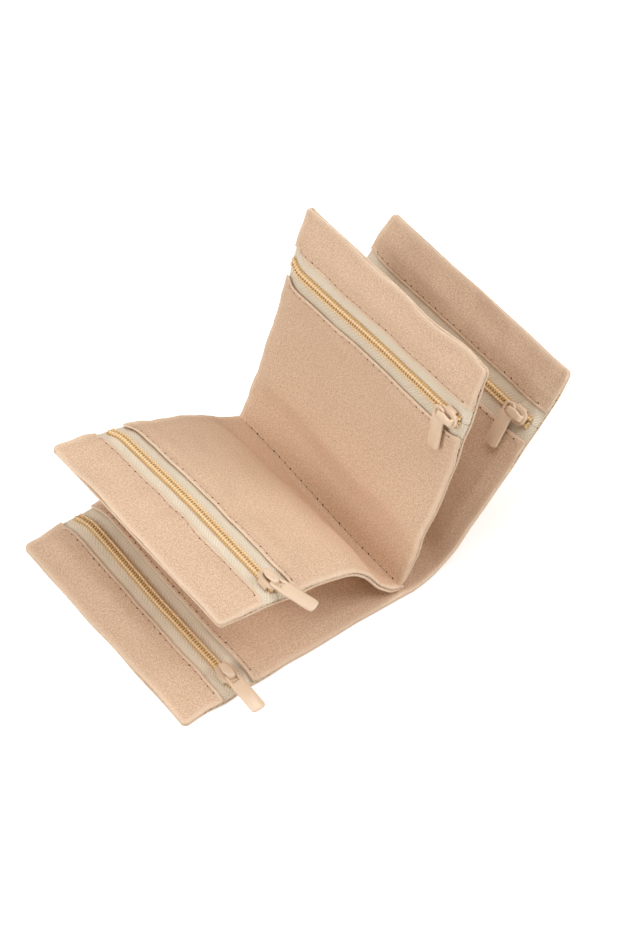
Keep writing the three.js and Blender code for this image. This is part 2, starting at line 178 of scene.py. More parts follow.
class SliderSettings(bpy.types.PropertyGroup):
    """The slider and its pull tab."""
    length: length(11, "Length", "Length of the slider along the zip")
    back_width: length(6.4, "Back width", "Width at the closed chain")
    front_width: length(8.4, "Front width", "Width at the parted rows")
    plate: length(1.4, "Plate", "Thickness of the upper plate")
    lower_plate: length(1, "Lower plate", "Thickness of the lower plate")
    plate_low: length(6.25, "Plate height", "Height of the upper plate's underside over the leaf's back")
    lower_low: length(2, "Lower plate height", "Height of the lower plate's underside")
    rail: length(0.8, "Rail", "Thickness of the rails beside the coils")
    rail_drop: length(1.5, "Rail drop", "How far the rails reach down")
    rail_length: length(5.5, "Rail length", "Length of the rails")
    post: length(0.6, "Post", "Width of the post that joins the two plates")
    bridge_length: length(9, "Bridge length", "Length of the bridge that holds the tab")
    bridge_bar: length(1.1, "Bridge bar", "Thickness of the bridge's leg and roof")
    bridge_window: length(1.7, "Bridge window", "Height of the opening under the bridge")
    bridge_width: length(4.6, "Bridge width", "Width of the bridge in its middle")
    bridge_end: length(2.7, "Bridge end", "Width of the bridge at its ends")
    bridge_nose: length(0.5, "Bridge nose", "How far the bridge's roof reaches past its legs")
    place: length(-54.3, "Place", "Where the slider's middle lies along the spine")
    tab_length: length(22.6, "Tab length", "Length of the pull tab")
    tab_width: length(7, "Tab width", "Width of the pull tab")
    tab: length(1.6, "Tab", "Thickness of the pull tab")
    eye_width: length(5.6, "Eye width", "Width of the tab at its eye")
    eye_bar: length(1.2, "Eye bar", "Width of the bar at the end of the eye")
    eye: length(1.25, "Eye", "Thickness of the tab at the end of its eye")
    eye_length: length(4.4, "Eye length", "Length of the eye's hole")
    eye_hole: length(3.6, "Eye hole", "Width of the eye's hole")
    shoulder: length(6, "Shoulder", "Where the tab reaches its full width")
    tab_crown: length(0.32, "Tab crown", "How far the tab's faces swell in their middle")
    tab_height: length(8.6, "Tab height", "Height of the tab's middle over the leaf's back face")
    lift_droop: turn(4.5, "Lifting droop", "How far a lifting tab droops")
    swing_droop: turn(5, "Hanging droop", "How far a hanging tab droops")
    leg_clearance: length(0.6, "Leg clearance", "Play of a lifting tab's eye behind the bridge's leg")


class FinishSettings(bpy.types.PropertyGroup):
    """Colours of the cloth, zips, enamel and thread."""
    suede: colour(0.75, 0.53, 0.37, "Suede", "Main colour of the cloth")
    suede_dark: colour(0.57, 0.365, 0.24, "Suede shade", "Colour of the nap lying away")
    suede_light: colour(0.91, 0.69, 0.51, "Suede light", "Colour of the nap lying towards the light")
    # Painted highlight: the paler colour painted along the folded edges, where the rounded lips catch the
    # light
    suede_highlight: colour(0.92, 0.73, 0.56, "Worn suede", "Colour of the cloth along its folded edges")
    tape: colour(1.0, 0.95, 0.82, "Tape", "Colour of the zip tape")
    tape_dark: colour(0.70, 0.55, 0.38, "Tape shade", "Colour between the tape's ribs")
    coil: colour(0.90, 0.64, 0.33, "Coil", "Colour of the gold coil")
    strand: colour(0.97, 0.74, 0.47, "Strand", "Colour of the cord on the coil")
    # The edge thread is a real part; its darker gold is painted shade for the chain's outer flank
    edge: colour(0.72, 0.47, 0.21, "Edge cord", "Colour of the thread along the coil's outer side")
    # The filler cord is a real part; its dark brown is painted shade in the groove between the coil rows
    core: colour(0.60, 0.34, 0.13, "Core", "Colour of the filler cord inside the coil")
    enamel: colour(0.86, 0.66, 0.485, "Enamel", "Colour of the sliders and tabs")
    thread: colour(0.66, 0.46, 0.31, "Thread", "Colour of the sewing thread")
    # Painted shade: the near-black colour of the slits laid on the cloth at the needle holes
    hole: colour(0.075, 0.032, 0.014, "Needle hole", "Colour inside a needle hole")


class StageSettings(bpy.types.PropertyGroup):
    """Camera, floor and light."""
    azimuth: turn(-37.56, "Azimuth", "Direction of the camera round the object")
    elevation: turn(50.3, "Elevation", "Angle of the camera over the floor")
    distance: length(1368.4, "Distance", "Distance of the camera")
    aside: length(-6.7, "Aside", "How far the camera is moved to its right")
    above: length(17.4, "Above", "How far the camera is moved up in its own view")
    lens: amount(114.15, "Lens", "Focal length in millimetres on a 36 mm sensor")
    floor: length(3200, "Floor", "Width of the floor")
    glow: amount(0.5, "Floor glow", "How much the floor shines by itself where it is seen")
    world: amount(0.18, "World", "Strength of the even light from all round")
    warmth: colour(1, 0.84, 0.67, "Warmth", "Colour of the even light from all round")
    top: amount(8.2, "Top lamp", "Power of the lamp overhead in watts")
    side: amount(7.4, "Side lamp", "Power of the lamp on the left in watts")
    front: amount(8.8, "Front lamp", "Power of the lamp in front in watts")
    near: amount(1.7, "Near lamp", "Power of the low lamp at the near end in watts")


GROUPS = {
    "organiser_leaf": LeafSettings,
    "organiser_cloth": ClothSettings,
    "organiser_zip": ZipSettings,
    "organiser_stitch": StitchSettings,
    "organiser_slider": SliderSettings,
    "organiser_finish": FinishSettings,
    "organiser_stage": StageSettings,
}


def settings(name):
    return getattr(bpy.context.scene, "organiser_" + name)


# Leaves and their layers

def smooth(value):
    share = np.clip(value, 0, 1)
    return share * share * (3 - 2 * share)


def ramp(value, reach, start=0):
    """0 up to a start, 1 after the reach from there on, and smooth between."""
    return smooth((value - start) / reach)


def hill(value, middle, reach):
    return np.exp(-((value - middle) / reach) ** 2)


def ripple(across, along, size, seed):
    """Gentle unevenness of about that size, between -1 and 1, the same on every run."""
    draw = np.random.default_rng(seed)
    total = 0
    waves = 7
    for _ in range(waves):
        heading = draw.uniform(0, math.pi)
        scale = 2 * math.pi / (size * draw.uniform(0.7, 1.6))
        phase = draw.uniform(0, 2 * math.pi)
        total = total + np.sin(scale * (across * math.cos(heading) + along * math.sin(heading)) + phase)
    return total / math.sqrt(waves * 2)


class LeafLine:
    """A leaf's middle line in the XZ plane: straight and round stretches from the spine outwards."""

    def __init__(self, start, heading, stretches, side):
        self.start = start
        self.heading = heading
        self.stretches = stretches
        self.side = side

    def at(self, distance):
        left = np.array(distance, float)
        x = np.full_like(left, self.start[0])
        z = np.full_like(left, self.start[1])
        angle = np.full_like(left, self.heading)
        for number, (span, turned) in enumerate([*self.stretches, (math.inf, 0)]):
            run = np.minimum(left, span)
            if number:
                run = np.maximum(run, 0)
            bend = turned * run / span if turned else np.zeros_like(run)
            chord = run * np.sinc(bend / (2 * math.pi))
            x = x + chord * np.cos(angle + bend / 2)
            z = z + chord * np.sin(angle + bend / 2)
            angle = angle + bend
            left = left - run
        return x, z, angle


class Leaf:
    """One zipped pocket: where it lies, and how high each of its layers stands over its back face."""

    def __init__(self, name, line, width, root, drape, sewn, belly, bow, seed, yaw, lifts):
        zip_ = settings("zip")
        self.name = name
        self.line = line
        self.width = width
        self.root = root
        self.drape = drape
        self.sewn = sewn
        self.belly = belly
        self.bow = bow
        self.seed = seed
        self.yaw = math.radians(yaw)
        self.lifts = lifts
        self.half = settings("leaf").leaf_length / 2
        self.chain = width - getattr(zip_, f"{name}_inset")
        self.band_edge = self.chain + zip_.fold_reach
        self.panel_edge = self.chain - zip_.fold_reach
        reach = zip_.gap / 2 + zip_.tape_width
        self.tape_edges = (self.chain - reach, self.chain + reach)

    def warp(self, distance, y):
        """Where a spot of the cut pattern ends up: a zip bows at its far end, and no edge is straight."""
        cloth = settings("cloth")
        curl = cloth.curl * ramp(y, reach=12.5 * MM, start=50 * MM)
        bow = self.bow * ramp(y, reach=60 * MM, start=-10 * MM) + curl
        bow = bow * hill(distance, self.chain, reach=20 * MM)
        edge = cloth.edge_wave * ripple(0, y, size=34 * MM, seed=self.seed + 6)
        edge = edge * ramp(distance - self.width, reach=30 * MM, start=-30 * MM)
        side = cloth.side_wave * ripple(distance, 0, size=24 * MM, seed=self.seed + 7)
        side = side * ramp(distance, reach=25 * MM)
        side = side * np.sign(y) * ramp(np.abs(y), reach=24 * MM, start=38 * MM)
        belly = self.belly(distance) * ramp(-y, reach=47 * MM, start=15 * MM)
        return distance + bow + edge, y + side - belly

    def place(self, distance, y, height):
        distance, y, height = np.broadcast_arrays(distance, y, height)
        pinch, aside, sink = self.sewn(distance, y)
        rise = pinch * (height - settings("leaf").root / 2) + self.drape(distance, y)
        distance, y = self.warp(distance, y)
        x, z, angle = self.line.at(distance)
        off = self.line.side * rise
        return np.stack([x - np.sin(angle) * off - aside, y, z + np.cos(angle) * off - sink], -1)

    def seat(self):
        """The slider's own frame: across the leaf, along the spine and off the leaf's face."""
        x, z, angle = (float(value) for value in self.line.at(self.chain))
        side = self.line.side
        drop = settings("leaf").root / 2
        across = Vector((math.cos(angle) * side, 0, math.sin(angle) * side))
        front = Vector((-math.sin(angle) * side, 0, math.cos(angle) * side))
        middle = Vector((x, settings("slider").place, z)) - front * drop
        basis = Matrix((across, Vector((0, 1, 0)), front)).transposed().to_4x4()
        return Matrix.Translation(middle) @ basis

    def corner(self, distance):
        """How far the sides draw in at the round free corners."""
        radius = settings("leaf").corner_round
        into = np.clip(distance - (self.width - radius), 0, radius)
        return radius - np.sqrt(radius ** 2 - into ** 2)

    def swell(self, distance, y):
        """How far the pocket's front stands off its back, less towards every sewn side."""
        side_reach = 9 * MM
        mouth_reach = 2.6 * MM
        near_reach = side_reach - (side_reach - mouth_reach) * hill(distance, self.chain, reach=9 * MM)
        near = ramp(self.half + y, near_reach)
        far = ramp(self.half - y, side_reach)
        root = ramp(distance - self.root, reach=14 * MM, start=3 * MM)
        edge = ramp(self.width - distance, reach=15 * MM)
        return settings("leaf").pocket_rise * near * far * root * edge

    def lap(self, distance):
        """How far the front cloth is lifted where it lies on the zip's tapes."""
        reach = 9 * MM
        room = 0.15 * MM
        into = ramp(distance - self.tape_edges[0], reach, start=-reach)
        out = ramp(self.tape_edges[1] - distance, reach, start=-reach)
        return (settings("zip").tape + room) * into * out

    def fold(self, distance, reach):
        """1 at the panel's fold and at the band's fold beside the zip, falling to 0 at that distance."""
        panel = smooth(1 - (self.panel_edge - distance) / reach) * (distance <= self.chain)
        band = smooth(1 - (distance - self.band_edge) / reach) * (distance > self.chain)
        return panel, band

    def stitch_rows(self):
        inset = settings("stitch").inset
        return {"inner": self.panel_edge - inset, "outer": self.band_edge + inset}

    def stitch_count(self):
        """An even number of stitches, so that the middle of a row is a needle hole."""
        stitch = settings("stitch")
        return 2 * int((self.half - stitch.end_inset) / stitch.pitch)

    def pucker(self, distance, y):
        """Small dips at the needle holes, and gathers along the sewn sides."""
        cloth = settings("cloth")
        at_hole = 0.5 + 0.5 * np.cos(2 * math.pi * y / settings("stitch").pitch)
        between_holes = 0.25
        depth = cloth.needle_dip * (between_holes + (1 - between_holes) * at_hole ** 2)
        dips = 0
        for row in self.stitch_rows().values():
            dips = dips - depth * hill(distance, row, reach=1.2 * MM)
        gather_reach = 5 * MM
        gather = cloth.gather * np.exp((np.abs(y) - self.half) / gather_reach)
        return dips + gather * ripple(distance, 0.2 * y, size=9 * MM, seed=self.seed + 1)

    def lip(self, y):
        """How much thicker the cloth is along the sewn sides, where it is turned in."""
        return settings("cloth").lip * hill(self.half - np.abs(y), 0, reach=2.2 * MM)

    def wrinkle(self, distance, y):
        """Slack in the cloth, and the soft dents where the stitching beside the zip draws it in."""
        cloth = settings("cloth")
        away = ramp(np.abs(distance - self.chain), reach=24 * MM)
        broad = cloth.slack * ripple(distance, y, size=42 * MM, seed=self.seed + 2) * away
        small = cloth.crumple * ripple(distance, y, size=12 * MM, seed=self.seed + 3) * away
        aside = 6 * MM
        panel_share = 0.6
        beside = hill(distance, self.band_edge + aside, reach=8 * MM)
        beside = beside + panel_share * hill(distance, self.panel_edge - aside, reach=8 * MM)
        drawn = cloth.drawn * ripple(0.4 * distance, y, size=20 * MM, seed=self.seed + 4) * beside
        inside = ramp(self.half - np.abs(y), reach=12 * MM) * ramp(distance - self.root, reach=15 * MM)
        return (broad + small + drawn) * inside

    def front_low(self, distance, y):
        cloth = settings("cloth")
        panel, band = self.fold(distance, reach=5 * MM)
        gape = cloth.gape * ramp(y, reach=35 * MM, start=15 * MM) * ramp(self.half - y, reach=5 * MM)
        band_lift = 0.06 * MM
        lifted = (cloth.fold_lift + gape) * panel + band_lift * band
        floor = settings("leaf").pocket_floor + self.swell(distance, y) + self.lap(distance)
        return floor + lifted + self.wrinkle(distance, y)

    def front_high(self, distance, y):
        panel, band = self.fold(distance, reach=3 * MM)
        panel_press = 0.35 * MM
        band_press = 0.2 * MM
        cloth = settings("leaf").cloth - panel_press * panel - band_press * band + self.lip(y)
        return self.front_low(distance, y) + cloth + self.pucker(distance, y)

    def tape_low(self, distance, y):
        """The tapes are sewn to the front cloth, so they take part in its slack."""
        return settings("leaf").pocket_floor + self.swell(distance, y) + self.wrinkle(distance, y)

    def tape_high(self, distance, y):
        return self.tape_low(distance, y) + settings("zip").tape


def no_drape(distance, y):
    return np.zeros(np.broadcast(distance, y).shape)


def left_page_drape(distance, y):
    """The left page dips beside the seam, humps at its near end and sags at its far end."""
    cloth = settings("cloth")
    near = ramp(-y, reach=72 * MM, start=-10 * MM)
    far = ramp(y, reach=67 * MM, start=-5 * MM)
    beside_seam = ramp(distance, reach=6 * MM) * (1 - ramp(distance, reach=24 * MM, start=12 * MM))
    dip_lost = 0.75
    dip = cloth.left_dip * beside_seam * (1 - dip_lost * far)
    hump = cloth.left_hump * near * hill(distance, 45 * MM, reach=9 * MM)
    sag = cloth.left_sag * far * hill(distance, 50 * MM, reach=40 * MM) * ramp(distance, reach=16 * MM)
    return hump - sag - dip


def right_page_drape(distance, y):
    """The right page curves up from the seam, and its free edge waves a little."""
    cloth = settings("cloth")
    reach = 9 * MM
    curve = cloth.right_curve * (np.maximum(reach - distance, 0) / reach) ** 2
    wave = cloth.right_wave * hill(y, -20 * MM, reach=12 * MM)
    droop = cloth.right_droop * hill(y, -46 * MM, reach=12 * MM)
    return curve + (wave - droop) * ramp(distance, reach=26 * MM, start=95 * MM)


def not_sewn(distance, y):
    return 1, 0, 0


def seam_aside(y):
    """How far left of the spine's middle the pages' seam lies: it runs a little askew."""
    cloth = settings("cloth")
    return cloth.seam_aside + cloth.seam_skew * ramp(-y, reach=90 * MM, start=-50 * MM)


def left_page_sewn(distance, y):
    """The left page follows the askew seam, less and less further out."""
    return 1, seam_aside(y) * (1 - ramp(distance, reach=38 * MM, start=12 * MM)), 0


def right_page_sewn(distance, y):
    """The right page is pressed thin on the left one along the seam, and lies lower there."""
    pressed = 0.6
    root = 1 - ramp(distance, reach=9 * MM, start=-settings("leaf").page_tuck)
    aside = seam_aside(y) * (1 - ramp(distance, reach=48 * MM, start=22 * MM))
    return 1 - pressed * root, aside, settings("cloth").seam_sink * root


def no_belly(distance):
    return 0 * distance


def left_cover_belly(distance):
    reach = 45 * MM
    return settings("cloth").left_belly * np.exp(-distance / reach)


def right_cover_belly(distance):
    cloth = settings("cloth")
    reach = 15 * MM
    slack = cloth.right_belly + cloth.right_root_belly * np.exp(-distance / reach)
    return slack * (1 - ramp(distance, reach=18 * MM, start=108 * MM))


def make_leaves():
    leaf = settings("leaf")
    middle = leaf.root / 2
    over = leaf.page_height
    cover_bends = [(leaf.cover_flat, 0), (leaf.cover_bend, leaf.cover_turn)]
    left_bends = [(leaf.left_page_rise, 0), (leaf.left_page_bend, leaf.left_page_turn)]
    right_bends = [(leaf.right_page_rise, 0), (leaf.right_page_bend, leaf.right_page_turn)]
    half = leaf.page_spread / 2
    lines = {
        "left_cover": LeafLine((0, middle), math.pi, [], -1),
        "left_page": LeafLine((-half, over), leaf.left_page_start, left_bends, -1),
        "right_page": LeafLine((half, over + leaf.page_stack), leaf.right_page_start, right_bends, 1),
        "right_cover": LeafLine((0, middle), 0, cover_bends, 1),
    }
    cover_root = leaf.cover_flat + leaf.cover_bend / 2
    covers = dict(width=leaf.cover_width, drape=no_drape, sewn=not_sewn)
    pages = dict(width=leaf.page_width, root=leaf.page_crease, belly=no_belly)
    facts = {
        "left_cover": dict(
            **covers, root=6 * MM, belly=left_cover_belly, bow=-1.5 * MM, seed=10, yaw=0, lifts=True),
        "left_page": dict(
            **pages, drape=left_page_drape, sewn=left_page_sewn, bow=0, seed=20, yaw=21, lifts=True),
        "right_page": dict(
            **pages, drape=right_page_drape, sewn=right_page_sewn, bow=-1.6 * MM, seed=30, yaw=86,
            lifts=False),
        "right_cover": dict(
            **covers, root=cover_root, belly=right_cover_belly, bow=0, seed=40, yaw=86, lifts=False),
    }
    return {name: Leaf(name, lines[name], **facts[name]) for name in lines}


# Mesh helpers

def new_piece(name, points, faces, material, map_points=None, painted_highlight=None):
    """A smooth mesh piece, with its cloth map and its share of painted edge highlight at each point where
    it has them.
    """
    mesh = bpy.data.meshes.new(name)
    mesh.from_pydata(np.asarray(points).tolist(), [], faces)
    if map_points is not None:
        layer = mesh.uv_layers.new(name=CLOTH_MAP)
        corners = np.zeros(len(mesh.loops), np.int64)
        mesh.loops.foreach_get("vertex_index", corners)
        layer.data.foreach_set("uv", (np.asarray(map_points)[corners] / MAP_SPAN).ravel())
    if painted_highlight is not None:
        mesh.attributes.new(EDGE_HIGHLIGHT, "FLOAT", "POINT").data.foreach_set("value", painted_highlight)
    mesh.shade_smooth()
    mesh.materials.append(material)
    mesh.validate()
    piece = bpy.data.objects.new(name, mesh)
    bpy.context.scene.collection.objects.link(piece)
    return piece


def inside_out(points, faces):
    corners = np.asarray(points)[np.asarray(faces)]
    a, b, c, d = (corners[:, n] for n in range(4))
    return float((a * np.cross(b, c)).sum() + (a * np.cross(c, d)).sum()) < 0


def slab(name, place, distances, shares, reach, low, high, material):
    """A closed cloth: a grid over a leaf between two heights, with a round rim along its whole edge."""
    rim_steps = 6
    across, share = np.meshgrid(distances, shares, indexing="ij")
    y = share * reach(across)
    lower = low(across, y)
    upper = high(across, y)
    rows, columns = across.shape
    number = np.arange(rows * columns).reshape(rows, columns)
    border = np.concatenate([
        number[0, :-1], number[:-1, -1], number[-1, :0:-1], number[:0:-1, 0]])
    edge = np.stack([across.ravel()[border], y.ravel()[border]], -1)
    tangent = np.roll(edge, -1, 0) - np.roll(edge, 1, 0)
    outward = np.stack([-tangent[:, 1], tangent[:, 0]], -1)
    outward /= np.linalg.norm(outward, axis=1, keepdims=True)
    middle = (upper + lower).ravel()[border] / 2
    radius = (upper - lower).ravel()[border] / 2
    points = [place(across, y, upper).reshape(-1, 3), place(across, y, lower).reshape(-1, 3)]
    maps = [np.stack([across.ravel(), y.ravel()], -1)] * 2
    loops = [border]
    for step in range(1, rim_steps):
        angle = math.pi * step / rim_steps
        spot = edge + outward * (radius * math.sin(angle))[:, None]
        points.append(place(spot[:, 0], spot[:, 1], middle + radius * math.cos(angle)))
        maps.append(spot)
        loops.append(2 * rows * columns + (step - 1) * len(border) + np.arange(len(border)))
    loops.append(border + rows * columns)
    top = np.stack([number[:-1, :-1], number[:-1, 1:], number[1:, 1:], number[1:, :-1]], -1)
    top = top.reshape(-1, 4)
    faces = [top, top[:, ::-1] + rows * columns]
    for first, second in zip(loops[:-1], loops[1:]):
        faces.append(np.stack([first, second, np.roll(second, -1), np.roll(first, -1)], -1))
    points = np.concatenate(points)
    faces = np.concatenate(faces)
    if inside_out(points, faces):
        faces = faces[:, ::-1]
    inset = np.minimum(np.minimum(across - across[0], across[-1] - across), reach(across) - np.abs(y))
    # Painted highlight: a share that is 1 at the cloth's edges and fades inwards
    painted_highlight = np.ones(len(points))
    painted_highlight[:2 * rows * columns] = np.tile(hill(inset.ravel(), 0, settings("cloth").painted_highlight), 2)
    return new_piece(name, points, faces.tolist(), material, np.concatenate(maps), painted_highlight)


def stations(start, end, step, fine=(), fine_step=0.5 * MM, fine_reach=4 * MM):
    """Places from start to end, closer together near the ones named in fine."""
    values = [start]
    while values[-1] < end - 0.25 * fine_step:
        here = values[-1]
        near = min([abs(here - spot) for spot in fine], default=math.inf)
        stride = fine_step + (step - fine_step) * min(1, max(0, (near - fine_reach) / fine_reach))
        values.append(here + stride)
    values = np.array(values)
    return start + (values - start) * (end - start) / (values[-1] - start)


def shares_along(half, step):
    """Places along the spine from -1 to 1, closer together at both ends."""
    places = stations(-half, half, step, fine=(-half, half), fine_step=0.4 * MM, fine_reach=2.5 * MM)
    return places / half


def copies(name, shape, frames, material):
    """One mesh holding a copy of a small shape at each of a list of 4 by 4 frames."""
    points = np.array([vertex.co[:] for vertex in shape.vertices])
    faces = [list(face.vertices) for face in shape.polygons]
    ones = np.concatenate([points, np.ones((len(points), 1))], 1)
    every = np.concatenate([(ones @ np.asarray(matrix).T)[:, :3] for matrix in frames])
    corners = []
    for number, matrix in enumerate(frames):
        mirrored = np.linalg.det(np.asarray(matrix)[:3, :3]) < 0
        for face in faces:
            moved = [corner + number * len(points) for corner in face]
            corners.append(moved[::-1] if mirrored else moved)
    return new_piece(name, every, corners, material)


def leaf_frame(leaf, distance, y, height):
    """A 4 by 4 frame on a leaf: across it away from the spine, along the spine, and off its face."""
    step = 0.2 * MM
    middle = leaf.place(distance, y, height)
    across = leaf.place(distance + step, y, height) - middle
    along = leaf.place(distance, y + step, height) - middle
    across /= np.linalg.norm(across)
    along -= across * (along @ across)
    along /= np.linalg.norm(along)
    off = np.cross(across, along) * leaf.line.side
    matrix = np.eye(4)
    matrix[:3, 0] = across
    matrix[:3, 1] = along
    matrix[:3, 2] = off
    matrix[:3, 3] = middle
    return matrix


def deselect():
    if bpy.context.object and bpy.context.object.mode != "OBJECT":
        bpy.ops.object.mode_set(mode="OBJECT")
    bpy.ops.object.select_all(action="DESELECT")


def select_only(piece):
    deselect()
    piece.select_set(True)
    bpy.context.view_layer.objects.active = piece


def block(size, middle):
    """A box at its size and place, with its place in its mesh."""
    deselect()
    bpy.ops.mesh.primitive_cube_add(size=1, location=middle, scale=size)
    bpy.ops.object.transform_apply(location=True, rotation=True, scale=True)
    return bpy.context.object


def edit_edges(piece, wanted):
    """Opens a piece in edit mode with the edges selected whose two ends pass a test."""
    select_only(piece)
    bpy.ops.object.mode_set(mode="EDIT")
    bpy.ops.mesh.select_mode(type="EDGE")
    bpy.ops.mesh.select_all(action="DESELECT")
    bpy.ops.object.mode_set(mode="OBJECT")
    for edge in piece.data.edges:
        a, b = (piece.data.vertices[number].co for number in edge.vertices)
        edge.select = bool(wanted(a, b))
    bpy.ops.object.mode_set(mode="EDIT")


def round_edges(piece, wanted, radius, steps):
    edit_edges(piece, wanted)
    bpy.ops.mesh.bevel(offset=radius, segments=steps, affect="EDGES", clamp_overlap=True)
    bpy.ops.object.mode_set(mode="OBJECT")


def upright(a, b, front):
    """Whether an edge stands upright at a piece's front or back end."""
    close = 1e-4 * MM
    return abs(a.x - b.x) < close and abs(a.y - b.y) < close and (a.y < 0) == front


def widen(piece, wanted, factor):
    """Scales the points that pass a test across the piece, about its middle."""
    edit_edges(piece, lambda a, b: wanted(a) and wanted(b))
    bpy.ops.transform.resize(value=(factor, 1, 1), center_override=(0, 0, 0))
    bpy.ops.object.mode_set(mode="OBJECT")


def lift(piece, wanted, height):
    """Moves the points that pass a test up or down."""
    edit_edges(piece, lambda a, b: wanted(a) and wanted(b))
    bpy.ops.transform.translate(value=(0, 0, height))
    bpy.ops.object.mode_set(mode="OBJECT")


def slice_at(piece, place, normal):
    """Gives a piece a line of points all round, along a plane."""
    select_only(piece)
    bpy.ops.object.mode_set(mode="EDIT")
    bpy.ops.mesh.select_all(action="SELECT")
    bpy.ops.mesh.bisect(plane_co=place, plane_no=normal)
    bpy.ops.object.mode_set(mode="OBJECT")


def apply_modifier(piece, kind, **options):
    select_only(piece)
    modifier = piece.modifiers.new(kind.lower(), kind)
    for option, value in options.items():
        setattr(modifier, option, value)
    bpy.ops.object.modifier_apply(modifier=modifier.name)


def cut(piece, tool):
    apply_modifier(piece, "BOOLEAN", operation="DIFFERENCE", object=tool, solver="EXACT")
    bpy.data.objects.remove(tool)


def join(pieces, name):
    deselect()
    for piece in pieces:
        piece.select_set(True)
    bpy.context.view_layer.objects.active = pieces[0]
    bpy.ops.object.join()
    pieces[0].name = name
    return pieces[0]


# Materials

class Nodes:
    """A node tree that nodes are added to by type, with their values and links."""

    def __init__(self, tree):
        self.tree = tree

    def add(self, kind, inputs=None, **values):
        node = self.tree.nodes.new(kind)
        for key, value in values.items():
            setattr(node, key, value)
        for key, value in (inputs or {}).items():
            if isinstance(value, bpy.types.NodeSocket):
                self.tree.links.new(value, node.inputs[key])
            else:
                node.inputs[key].default_value = value
        return node

    def math(self, operation, *values):
        return self.add("ShaderNodeMath", dict(enumerate(values)), operation=operation).outputs[0]

    def mix(self, share, first, second):
        inputs = {0: share, 6: first, 7: second}
        return self.add("ShaderNodeMix", inputs, data_type="RGBA").outputs[2]


def effect(name, inputs, outputs):
    """A shader node group with named inputs and outputs, and its two end nodes."""
    tree = bpy.data.node_groups.new(name, "ShaderNodeTree")
    for label, kind in inputs.items():
        tree.interface.new_socket(label, in_out="INPUT", socket_type=kind)
    for label, kind in outputs.items():
        tree.interface.new_socket(label, in_out="OUTPUT", socket_type=kind)
    nodes = Nodes(tree)
    return nodes, nodes.add("NodeGroupInput").outputs, nodes.add("NodeGroupOutput").inputs


def nap_effect():
    """Short brushed nap: a fine mottle, broad soft patches and a height for bump."""
    number = "NodeSocketFloat"
    nodes, given, result = effect(
        "brushed_nap",
        {"Place": "NodeSocketVector", "Grain": number, "Patch": number},
        {"Mottle": number, "Patches": number, "Height": number})
    clump_scale = 0.4
    clump_share = 0.2
    hair_scale = 1.6
    hair_share = 0.35
    fine = nodes.add("ShaderNodeTexNoise", {
        "Vector": given["Place"], "Scale": given["Grain"], "Detail": 5, "Roughness": 0.66})
    clump_grain = nodes.math("MULTIPLY", given["Grain"], clump_scale)
    clumps = nodes.add("ShaderNodeTexNoise", {
        "Vector": given["Place"], "Scale": clump_grain, "Detail": 3})
    broad = nodes.add("ShaderNodeTexNoise", {
        "Vector": given["Place"], "Scale": given["Patch"], "Detail": 3, "Roughness": 0.55})
    hairs = nodes.add("ShaderNodeTexVoronoi", {
        "Vector": given["Place"], "Scale": nodes.math("MULTIPLY", given["Grain"], hair_scale)})
    both = nodes.math("MULTIPLY_ADD", clumps.outputs["Fac"], clump_share, fine.outputs["Fac"])
    mottle = nodes.add("ShaderNodeMapRange", {"Value": both, "From Min": 0.51, "From Max": 0.69})
    patches = nodes.add("ShaderNodeMapRange", {
        "Value": broad.outputs["Fac"], "From Min": 0.3, "From Max": 0.7})
    link = nodes.tree.links.new
    link(mottle.outputs["Result"], result["Mottle"])
    link(patches.outputs["Result"], result["Patches"])
    height = nodes.math("MULTIPLY_ADD", hairs.outputs["Distance"], hair_share, fine.outputs["Fac"])
    link(height, result["Height"])
    return nodes.tree


def herringbone_effect():
    """Slanted ribs that turn at each stripe, as zip tape is woven."""
    number = "NodeSocketFloat"
    nodes, given, result = effect(
        "herringbone", {"Place": "NodeSocketVector", "Stripes": number, "Ribs": number},
        {"Rib": number, "Height": number})
    slant = 9
    place = nodes.add("ShaderNodeSeparateXYZ", {"Vector": given["Place"]}).outputs
    stripe = nodes.math("PINGPONG", nodes.math("MULTIPLY", place["X"], given["Stripes"]), 0.5)
    along = nodes.math("MULTIPLY", place["Y"], given["Ribs"])
    slanted = nodes.math("MULTIPLY_ADD", stripe, slant, along)
    wave = nodes.math("SINE", nodes.math("MULTIPLY", slanted, 2 * math.pi))
    rib = nodes.math("MULTIPLY_ADD", wave, 0.5, 0.5)
    nodes.tree.links.new(rib, result["Rib"])
    nodes.tree.links.new(rib, result["Height"])
    return nodes.tree


def material(name):
    """An empty procedural material with its Principled shader."""
    made = bpy.data.materials.new(name)
    made.use_nodes = True
    nodes = Nodes(made.node_tree)
    return made, nodes, made.node_tree.nodes["Principled BSDF"]


def opaque(rgb):
    return (*rgb, 1)


def shaded(rgb, *shares):
    """A colour made darker or lighter by one share, or by one for each of its three channels."""
    return opaque(value * share for value, share in zip(rgb, shares * 3))


def cloth_place(nodes):
    return nodes.add("ShaderNodeUVMap", uv_map=CLOTH_MAP).outputs["UV"]


def bump(nodes, shader, height, strength, distance):
    node = nodes.add("ShaderNodeBump", {"Height": height, "Strength": strength, "Distance": distance})
    nodes.tree.links.new(node.outputs["Normal"], shader.inputs["Normal"])


